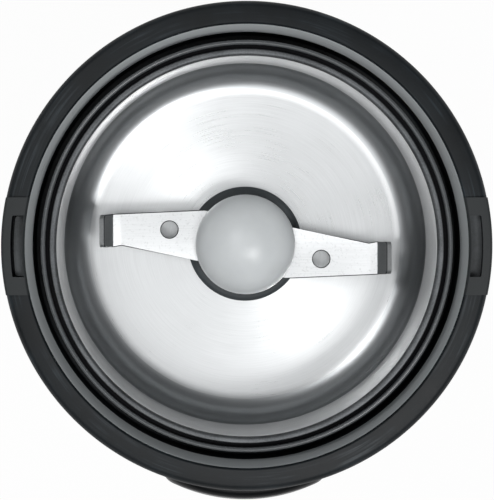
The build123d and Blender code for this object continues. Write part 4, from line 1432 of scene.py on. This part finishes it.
@dataclass
class BowlUnit(Assembly):
    """Bowl, the carrier that holds it, gasket, pad and shaft seal."""

    lip_r: float = 36.9
    lip_in: float = 36.1
    lip_z: float = 112.0
    lip_round: float = 0.39
    lip_from: tuple[float, float] = (97.0, 97.15)
    lip_finish_from: float = 93.5
    cup_r: float = 36.4
    cup_in: float = 34.9
    cup_z: tuple[float, float] = (78.0, 80.5)
    cup_round: tuple[float, float] = (2.0, 3.0)
    hole_r: float = 5.6
    ledge_r: float = 41.9
    ledge_z: tuple[float, float] = (91.0, 93.0)
    shelf_z: float = 109.9
    gasket_thick: float = 0.5
    gasket_gap: float = 0.05
    bowl_r: float = 34.0
    bowl_hole_r: float = 5.8
    floor_z: float = 82.0
    mouth_z: float = 111.0
    corner: float = 6.0
    sheet: float = 0.6
    flange_r: float = 35.45
    flange_from: float = 0.12
    corner_from: float = 0.12
    wall_from: float = 5.2
    seal_r: float = 10.8
    seal_bore: float = 3.35
    seal_lip_r: float = 3.08
    seal_back_r: float = 7.2
    seal_back_z: float = 76.8
    seal_neck: tuple[float, float] = (5.8, 5.0)
    seal_slope: float = 0.6
    seal_brim: tuple[float, float, float] = (0.7, 1.2, 1.5)
    seal_top: float = 3.0
    seal_lip: tuple[float, float] = (2.2, 2.5)

    def carrier_mesh(self) -> Mesh:
        """Cup with the lip that seats the lid.

        Returns:
            The closed solid.
        """
        under, inside = self.cup_z
        ledge_under, ledge_top = self.ledge_z
        return Workshop.turn(
            [
                Corner(self.hole_r, under),
                Corner(self.cup_r, under, self.cup_round[0]),
                Corner(self.cup_r, ledge_under),
                Corner(self.ledge_r, ledge_under),
                Corner(self.ledge_r, ledge_top),
                Corner(self.cup_r, ledge_top),
                Corner(self.cup_r, self.lip_from[0]),
                Corner(self.lip_r, self.lip_from[1]),
                Corner(self.lip_r, self.lip_z, self.lip_round, 6),
                Corner(self.lip_in, self.lip_z, self.lip_round, 6),
                Corner(self.lip_in, self.shelf_z),
                Corner(self.cup_in, self.shelf_z),
                Corner(self.cup_in, inside, self.cup_round[1]),
                Corner(self.hole_r, inside),
            ]
        )

    def bowl_mesh(self) -> Mesh:
        """Drawn bowl: flange, wall, corner radius and floor.

        Returns:
            The closed solid.
        """
        outside = self.bowl_r + self.sheet
        flange_under, floor_under = self.mouth_z - self.sheet, self.floor_z - self.sheet
        return Workshop.turn(
            [
                Corner(self.bowl_hole_r, self.floor_z),
                Corner(self.bowl_r, self.floor_z, self.corner, 20),
                Corner(self.bowl_r, self.mouth_z, 0.8, 8),
                Corner(self.flange_r, self.mouth_z, 0.28, 4),
                Corner(self.flange_r, flange_under, 0.28, 4),
                Corner(outside, flange_under, 0.2, 3),
                Corner(outside, floor_under, self.corner + self.sheet, 8),
                Corner(self.bowl_hole_r, floor_under),
            ],
            ROUND * 2,
        )

    def seal_mesh(self) -> Mesh:
        """Rubber grommet round the shaft.

        Returns:
            The closed solid.
        """
        z = self.floor_z
        side, slope, foot = self.seal_brim
        wide, narrow = self.seal_neck
        lip_under, lip_top = self.seal_lip
        return Workshop.turn(
            [
                Corner(self.seal_bore, self.seal_back_z),
                Corner(self.seal_back_r, self.seal_back_z, 0.5),
                Corner(self.seal_back_r, self.cup_z[0]),
                Corner(self.hole_r, self.cup_z[0]),
                Corner(self.hole_r, z),
                Corner(self.seal_r, z),
                Corner(self.seal_r, z + side, 0.3, 4),
                Corner(self.seal_r - self.seal_slope, z + slope, 0.4, 4),
                Corner(wide, z + foot, 1.0),
                Corner(narrow, z + self.seal_top, 0.4, 4),
                Corner(self.seal_lip_r, z + self.seal_top),
                Corner(self.seal_lip_r, z + lip_top),
                Corner(self.seal_bore, z + lip_under),
            ],
            SMALL_ROUND * 2,
        )

    def gasket_mesh(self) -> Mesh:
        """Gasket under the bowl's flange.

        Returns:
            The closed solid.
        """
        inner, top = self.cup_in + self.gasket_gap, self.shelf_z + self.gasket_thick
        under = [Corner(inner, self.shelf_z), Corner(self.lip_in, self.shelf_z)]
        return Workshop.turn([*under, Corner(self.lip_in, top), Corner(inner, top)])

    def finish_bowl(self, bowl: Mesh) -> None:
        """Number the bowl's faces: 0 floor, 1 corner, darker as painted shade, 2 wall, lighter and part
        diffuse as a painted reflection, 3 flange.

        Args:
            bowl: the bowl's mesh.
        """
        flange_z = self.mouth_z - self.sheet - NEAR
        bands = (self.floor_z + self.corner_from, self.floor_z + self.wall_from)
        for face in bowl.faces:
            middle = face.calc_center_median() / MM
            on_flange = middle.z > flange_z and middle.xy.length > self.bowl_r + self.flange_from
            face.material_index = 3 if on_flange else sum(middle.z > band for band in bands)

    def build(self) -> None:
        """Build and dress the bowl unit."""
        carrier = self.carrier_mesh()
        for face in carrier.faces:
            face.material_index = int(face.calc_center_median().z < self.lip_finish_from * MM)
        finishes = [Finishes.LIP, Finishes.CARRIER]
        self.place("carrier", carrier, finishes, "carrier_plastic", stands_for=["bowl_carrier"])
        bowl = self.bowl_mesh()
        self.finish_bowl(bowl)
        # The corner and wall finishes paint shade and a bright reflection on the one steel bowl.
        finishes = [Finishes.BOWL, Finishes.BOWL_CORNER_PAINTED_SHADE, Finishes.BOWL_WALL_PAINTED_REFLECTION, Finishes.BOWL_FLANGE]
        self.place("steel_bowl", bowl, finishes, "bowl_steel", stands_for=["bowl"])
        gasket = self.gasket_mesh()
        self.place("gasket", gasket, [Finishes.GASKET], "seal_rubber", stands_for=["bowl_gasket"])
        self.place("seal", self.seal_mesh(), [Finishes.SEAL], "seal_rubber", stands_for=["shaft_seal"])
        self.dress(Finishes.FELT, "bowl_pad")
        self.dress(Finishes.ZINC, "carrier_screws")


@dataclass(frozen=True)
class Bend:
    """Bend of the blade's strip: where it begins, its inner radius and its angle in degrees."""

    start: float
    radius: float
    angle: float


@dataclass
class GrindingSet(Assembly):
    """Blade, hub cap, nut and washer."""

    low: float = 88.0
    thick: float = 1.0
    bends: tuple[Bend, ...] = (Bend(23.0, 4.0, 10.0), Bend(24.85, 1.3, 60.8))
    bend_cuts: int = 40
    cut_pitch: float = 0.08
    cuts_ahead: float = 0.05
    tip_from: float = 25.2
    tip_x: float = 30.2
    tip_round: float = 0.8
    wing: tuple[tuple[float, float], ...] = (
        (0.0, -7.6),
        (7.0, -6.2),
        (8.6, -6.4),
        (tip_x, -5.45),
        (tip_x, 0.55),
        (24.6, 0.5),
        (23.2, 0.25),
        (8.9, 3.1),
        (3.0, 4.5),
        (0.0, 4.5),
    )
    ground: tuple[int, int] = (6, 7)
    ground_width: float = 0.55
    edge_width: float = 0.16
    hole_at: tuple[float, float] = (14.2, -2.75)
    hole_r: float = 1.57
    hub_r: float = 7.6
    bore_r: float = 2.55
    cap_r: float = 9.3
    cap_dome: float = 7.8
    cap_skirt: float = 1.2
    cap_wall: float = 1.4

    def bent(self, x: float, z: float) -> tuple[float, float]:
        """Where a point of the flat strip goes when the tip is bent up.

        Args:
            x: distance along the flat strip.
            z: height above the strip's underside.

        Returns:
            X and the height above the flat strip's underside.
        """
        place, height, angle, done = 0.0, 0.0, 0.0, 0.0
        for bend in self.bends:
            straight = min(x, bend.start) - done
            if straight > 0:
                place += straight * math.cos(angle)
                height += straight * math.sin(angle)
                done += straight
            if x <= bend.start:
                break
            whole = math.radians(bend.angle)
            swing = min(1.0, (x - bend.start) / (bend.radius * whole)) * whole
            place += bend.radius * (math.sin(angle + swing) - math.sin(angle))
            height += bend.radius * (math.cos(angle) - math.cos(angle + swing))
            angle += swing
            done = bend.start + bend.radius * swing
        rest = max(0.0, x - done)
        place += rest * math.cos(angle)
        height += rest * math.sin(angle)
        return place - z * math.sin(angle), height + z * math.cos(angle)

    def strip_mesh(self) -> Mesh:
        """Flat wing: plan with a rounded tip, thickness and hole.

        Returns:
            The closed solid.
        """
        mesh = bmesh.new()
        mesh.faces.new([mesh.verts.new((x * MM, y * MM, 0)) for x, y in self.wing])
        tips = [vert for vert in mesh.verts if vert.co.x > (self.tip_x - NEAR) * MM]
        Workshop.bevel(mesh, tips, self.tip_round, 6, Eased.CORNERS)
        Workshop.lift(mesh, bmesh.ops.extrude_face_region(mesh, geom=mesh.faces[:]), self.thick)
        hole = Workshop.rod(self.hole_r, -self.thick, 2 * self.thick, *self.hole_at, 48)
        return Workshop.combine(mesh, hole)

    def ease_wing(self, mesh: Mesh) -> None:
        """Bevel the upper edges: 1 on the ground edge and 2 as a fine line of painted shade along the
        outline.

        Args:
            mesh: the flat wing.
        """
        ends = {self.wing[number] for number in self.ground}
        top = [edge for edge in mesh.edges if all(v.co.z > self.thick / 2 * MM for v in edge.verts)]
        ground = [
            edge
            for edge in top
            if {(round(v.co.x / MM, 2), round(v.co.y / MM, 2)) for v in edge.verts} == ends
        ]
        Workshop.bevel(mesh, ground, self.ground_width, 1, number=1)
        # A fine dark bevel along the outline and holes paints their shade.
        outline = [
            edge
            for edge in mesh.edges
            if all(v.co.z > (self.thick - NEAR) * MM and v.co.x > self.hub_r * MM for v in edge.verts)
            and any(abs(face.normal.z) < UPRIGHT for face in edge.link_faces)
        ]
        Workshop.bevel(mesh, outline, self.edge_width, 1, number=2)

    def wing_mesh(self) -> Mesh:
        """Right wing, bent; its bevels are 1 and 2, a painted dark outline, and the tip is 3, darker as
        painted shade.

        Returns:
            The closed solid.
        """
        mesh = self.strip_mesh()
        self.ease_wing(mesh)
        for number in range(self.bend_cuts):
            where = self.bends[0].start - self.cuts_ahead + number * self.cut_pitch
            Workshop.slice(mesh, (where, 0, 0), (1, 0, 0), clear=False)
        # The tip takes the darker steel that paints its shade.
        for face in mesh.faces:
            if face.calc_center_median().x > self.tip_from * MM and face.material_index == 0:
                face.material_index = 3
        for vert in mesh.verts:
            x, z = self.bent(vert.co.x / MM, vert.co.z / MM)
            vert.co.x, vert.co.z = x * MM, (z + self.low) * MM
        return mesh

    def blade_mesh(self) -> Mesh:
        """Both wings and the hub plate, joined.

        Returns:
            The closed solid.
        """
        right = self.wing_mesh()
        left = Workshop.to_side(right.copy(), -1)
        hub = Workshop.rod(self.hub_r, self.low, self.low + self.thick, steps=ROUND // 2)
        blade = Workshop.combine(Workshop.combine(right, left, Joinery.JOIN), hub, Joinery.JOIN)
        bore = Workshop.rod(self.bore_r, self.low - self.thick, self.low + 3 * self.thick)
        return Workshop.combine(blade, bore)

    def cap_mesh(self) -> Mesh:
        """Domed cap with a short skirt.

        Returns:
            The closed solid.
        """
        mesh = bmesh.new()
        bmesh.ops.create_uvsphere(
            mesh, u_segments=ROUND // 2, v_segments=ROUND // 4, radius=self.cap_r * MM
        )
        bmesh.ops.scale(mesh, vec=(1, 1, self.cap_dome / self.cap_r), verts=mesh.verts[:])
        edge = Workshop.slice(mesh, (0, 0, 0), (0, 0, -1))
        Workshop.lift(mesh, bmesh.ops.extrude_edge_only(mesh, edges=edge), -self.cap_skirt)
        bmesh.ops.solidify(mesh, geom=mesh.faces[:], thickness=self.cap_wall * MM)
        bmesh.ops.recalc_face_normals(mesh, faces=mesh.faces[:])
        return Workshop.move(mesh, Matrix.Translation((0, 0, self.low + self.thick + self.cap_skirt)))

    def build(self) -> None:
        """Build and dress the grinding set."""
        finishes = [Finishes.BLADE, Finishes.GROUND, Finishes.BLADE_OUTLINE_PAINTED_SHADE, Finishes.BLADE_TIP_PAINTED_SHADE]
        self.place("winged_blade", self.blade_mesh(), finishes, "blade_steel", "rotor", ["blade"], crease=25)
        self.place("dome_cap", self.cap_mesh(), [Finishes.CAP], "cap_plastic", "rotor", ["hub_cap"])
        self.dress(Finishes.ZINC, "blade_nut", "blade_washer")


@dataclass
class FrontButton(Assembly):
    """Push button and its frame in the casing's wall."""

    width: float = 31.0
    height: float = 16.0
    dome_r: float = 32.0
    front_y: float = -49.0
    edge: float = 1.2
    edge_steps: int = 8
    dome_rings: tuple[float, ...] = (0.25, 0.45, 0.65, 0.82, 0.95)
    collar: float = 1.0
    collar_back: float = -40.4
    collar_r: float = 41.55
    gap: float = 0.15
    frame_wall: float = 1.35
    frame_r: float = 44.8
    frame_back_r: float = 38.6
    frame_round: float = 0.3
    frame_steps: int = 4

    def dome(self, x: float, z: float) -> float:
        """Y of the domed face."""
        return self.front_y + self.dome_r - math.sqrt(self.dome_r**2 - x * x - z * z)

    @staticmethod
    def round_wall(radius: float, back: float = 0.0) -> Depth:
        """Depth of a loop that follows a cylinder about Z, or lies behind it.

        Args:
            radius: the cylinder's radius.
            back: how far the loop lies behind it.

        Returns:
            Y for an X and a Z.
        """
        return lambda x, z: back - math.sqrt(radius**2 - x * x)

    def key_mesh(self) -> Mesh:
        """Key with a collar behind the wall, a rounded edge and a domed face.

        Returns:
            The closed solid.
        """
        rings: list[tuple[float, Depth]] = [
            (-self.collar, lambda x, z: self.collar_back),
            (-self.collar, self.round_wall(self.collar_r)),
            (0.0, self.round_wall(self.collar_r)),
        ]
        for inset, back in Workshop.quarter(self.edge, self.edge_steps):
            rings.append((inset, lambda x, z, back=back: self.dome(x, z) + back))
        for share in self.dome_rings:
            rings.append((self.edge + (self.height / 2 - self.edge) * share, self.dome))
        return Workshop.oval_shell(self.width, self.height, rings, BUTTON_Z)

    def frame_mesh(self) -> Mesh:
        """Oval frame whose front follows the casing, with rounded edges.

        Returns:
            The closed solid.
        """
        margin = 2 * (self.frame_wall + self.gap)
        rounding = Workshop.quarter(self.frame_round, self.frame_steps)
        rings = [
            (0.0, self.round_wall(self.frame_back_r)),
            *[(inset, self.round_wall(self.frame_r, back)) for inset, back in rounding],
            *[(self.frame_wall - back, self.round_wall(self.frame_r, inset)) for inset, back in rounding],
            (self.frame_wall, self.round_wall(self.frame_back_r)),
        ]
        return Workshop.oval_shell(self.width + margin, self.height + margin, rings, BUTTON_Z, closed=True)

    def build(self) -> None:
        """Build and dress the front button."""
        key, frame = self.key_mesh(), self.frame_mesh()
        self.place("button_key", key, [Finishes.KEY], "button_plastic", "button", ["push_button"])
        self.place("button_frame", frame, [Finishes.CASING], "casing_plastic", stands_for=["button_guide"])


@dataclass
class WorkingParts(Assembly):
    """Motor, switches and interlock: nodes whose shapes stay as they are."""

    finishes: dict[Finish, tuple[str, ...]] = field(
        default_factory=lambda: {
            Finishes.SHAFT: ("drive_shaft",),
            Finishes.LAMINATIONS: ("armature_core", "stator_stack"),
            Finishes.WINDING: ("armature_winding", "field_coil_front", "field_coil_rear"),
            Finishes.COMMUTATOR: ("commutator",),
            Finishes.NYLON: ("thrust_washers", "fan"),
            Finishes.BRONZE: ("upper_bush", "lower_bush"),
            Finishes.CASTING: ("upper_bracket", "lower_bracket"),
            Finishes.FOOT: ("motor_buffers",),
            Finishes.GRAPHITE: ("carbon_brushes",),
            Finishes.SPRING: ("bush_retainers", "brush_springs", "button_spring", "interlock_spring"),
            Finishes.ZINC: (
                "buffer_screws",
                "motor_screws",
                "button_switch_bracket",
                "lid_switch_bracket",
                "bracket_screws",
            ),
            Finishes.SWITCH_CASE: ("brush_holders", "button_switch", "lid_switch"),
            Finishes.SWITCH_TIP: ("button_switch_plunger", "lid_switch_plunger"),
            Finishes.SLOT_FLOOR: ("interlock_plunger",),
        }
    )

    def build(self) -> None:
        """Dress the working parts."""
        for finish, nodes in self.finishes.items():
            self.dress(finish, *nodes)


# ---------------------------------------------------------------- studio


@dataclass(frozen=True)
class Lamp:
    """Square soft lamp that faces the grinder.

    The azimuth runs from +X in the plan and the tilt from straight above, both in degrees.
    The side is in metres and the power in watts.
    """

    name: str
    azimuth: float
    tilt: float
    side: float
    watts: float


@dataclass
class Studio:
    """Floor, lights, surroundings and camera."""

    image: tuple[int, int] = (494, 500)
    camera_at: Triple = (-6.6, 8.3, 612.0)
    aim: Triple = (0.0, -0.66, 112.0)
    pixels_per_mm: float = 5.593
    camera_height: float = 500.0
    sensor: float = 36.0
    lamp_distance: float = 1.25
    lamp_aim_z: float = 0.1
    lamps: tuple[Lamp, ...] = (
        Lamp("rear_left", 140, 28, 0.25, 2.2),
        Lamp("front_right", -50, 24, 0.3, 5.6),
        Lamp("front_left", -120, 22, 0.7, 3.0),
    )
    white: Colour = (1.0, 1.0, 1.0)
    floor_radius: float = 3.0
    floor_grey: Colour = (0.8, 0.8, 0.8)
    floor_glow: float = 0.97
    room: Colour = (0.11, 0.114, 0.118)
    ceiling: Colour = (0.9, 0.91, 0.92)
    ceiling_rise: tuple[float, float] = (0.92, 0.985)
    horizon_rise: tuple[float, float] = (0.15, 0.35)

    @staticmethod
    def seen(bench: Bench, path: bpy.types.Node) -> Wire:
        """Find the rays on which the white background is seen.

        Args:
            bench: the node tree.
            path: its Light Path node.

        Returns:
            1 for camera, glossy and transmission rays and 0 for all others.
        """
        rays = [bench.wire(path, kind) for kind in ("Is Camera Ray", "Is Glossy Ray", "Is Transmission Ray")]
        return rays[0].larger(rays[1]).larger(rays[2])

    def floor(self) -> None:
        """Make the pale floor that looks white and keeps the shadow."""
        mesh = bmesh.new()
        bmesh.ops.create_circle(mesh, cap_ends=True, segments=SMALL_ROUND, radius=self.floor_radius)
        made = Workshop.stand(mesh, "floor")
        material = bpy.data.materials.new("floor_pale")
        material.use_nodes = True
        bench = Bench(material.node_tree)
        seen = self.seen(bench, bench.node("ShaderNodeLightPath"))
        matt = bench.node("ShaderNodeBsdfDiffuse", None, {"Color": (*self.floor_grey, 1.0)})
        glow = bench.node("ShaderNodeEmission", None, {"Color": (*self.white, 1.0), "Strength": 1.0})
        mixed = {0: seen * self.floor_glow, 1: bench.wire(matt), 2: bench.wire(glow)}
        both = bench.node("ShaderNodeMixShader", None, mixed)
        bench.node("ShaderNodeOutputMaterial", None, {"Surface": bench.wire(both)})
        made.data.materials.append(material)

    def surroundings(self) -> None:
        """Put white behind the object and near the horizon, and a dim room with a bright ceiling round it."""
        world = bpy.data.worlds.new("studio")
        world.use_nodes = True
        bpy.context.scene.world = world
        bench = Bench(world.node_tree)
        path = bench.node("ShaderNodeLightPath")
        direction = bench.node("ShaderNodeTexCoord")
        parts = bench.node("ShaderNodeSeparateXYZ", None, {0: bench.wire(direction, "Generated")})
        rise = bench.wire(parts, 2)
        light = bench.tint(rise.step(*self.ceiling_rise), self.room, self.ceiling)
        room = bench.node("ShaderNodeBackground", None, {"Color": light})
        white = bench.node("ShaderNodeBackground", None, {"Color": (*self.white, 1.0), "Strength": 1.0})
        low = self.seen(bench, path) * (1.0 - rise.step(*self.horizon_rise))
        seen = low.larger(bench.wire(path, "Is Camera Ray"))
        both = bench.node("ShaderNodeMixShader", None, {0: seen, 1: bench.wire(room), 2: bench.wire(white)})
        bench.node("ShaderNodeOutputWorld", None, {"Surface": bench.wire(both)})

    def add_lamp(self, lamp: Lamp) -> None:
        """Add a lamp to the scene.

        Args:
            lamp: the lamp.
        """
        light = bpy.data.lights.new(lamp.name, "AREA")
        light.shape = "SQUARE"
        light.size = lamp.side
        light.energy = lamp.watts
        made = bpy.data.objects.new(lamp.name, light)
        turned = Workshop.rotation(lamp.azimuth) @ Workshop.rotation(lamp.tilt, "Y")
        aim, away = Vector((0, 0, self.lamp_aim_z)), Vector((0, 0, self.lamp_distance))
        made.matrix_world = Matrix.Translation(aim) @ turned @ Matrix.Translation(away)
        bpy.context.scene.collection.objects.link(made)

    def camera(self) -> None:
        """Add the camera, straight above and a little to the left and behind."""
        data = bpy.data.cameras.new("camera")
        data.sensor_width = self.sensor
        data.lens = self.pixels_per_mm * self.camera_height / max(self.image) * self.sensor
        data.clip_start = 0.01
        made = bpy.data.objects.new("camera", data)
        bpy.context.scene.collection.objects.link(made)
        back = (Vector(self.camera_at) - Vector(self.aim)).normalized()
        right = Vector((0, 1, 0)).cross(back).normalized()
        up = back.cross(right)
        turned = Matrix((right, up, back)).transposed().to_4x4()
        made.matrix_world = Matrix.Translation(Vector(self.camera_at) * MM) @ turned
        bpy.context.scene.camera = made

    def build(self) -> None:
        """Set up the studio."""
        self.floor()
        self.surroundings()
        for lamp in self.lamps:
            self.add_lamp(lamp)
        self.camera()
        bpy.context.scene.view_settings.view_transform = "Standard"


def main() -> None:
    """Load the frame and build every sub-assembly."""
    logging.basicConfig(level=logging.INFO, format="%(name)s %(message)s")
    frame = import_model()
    Studio().build()
    for part in (Casing, Rim, BowlUnit, GrindingSet, FrontButton, WorkingParts):
        part(frame).build()
    bpy.context.view_layer.update()


if __name__ == "__main__":
    main()
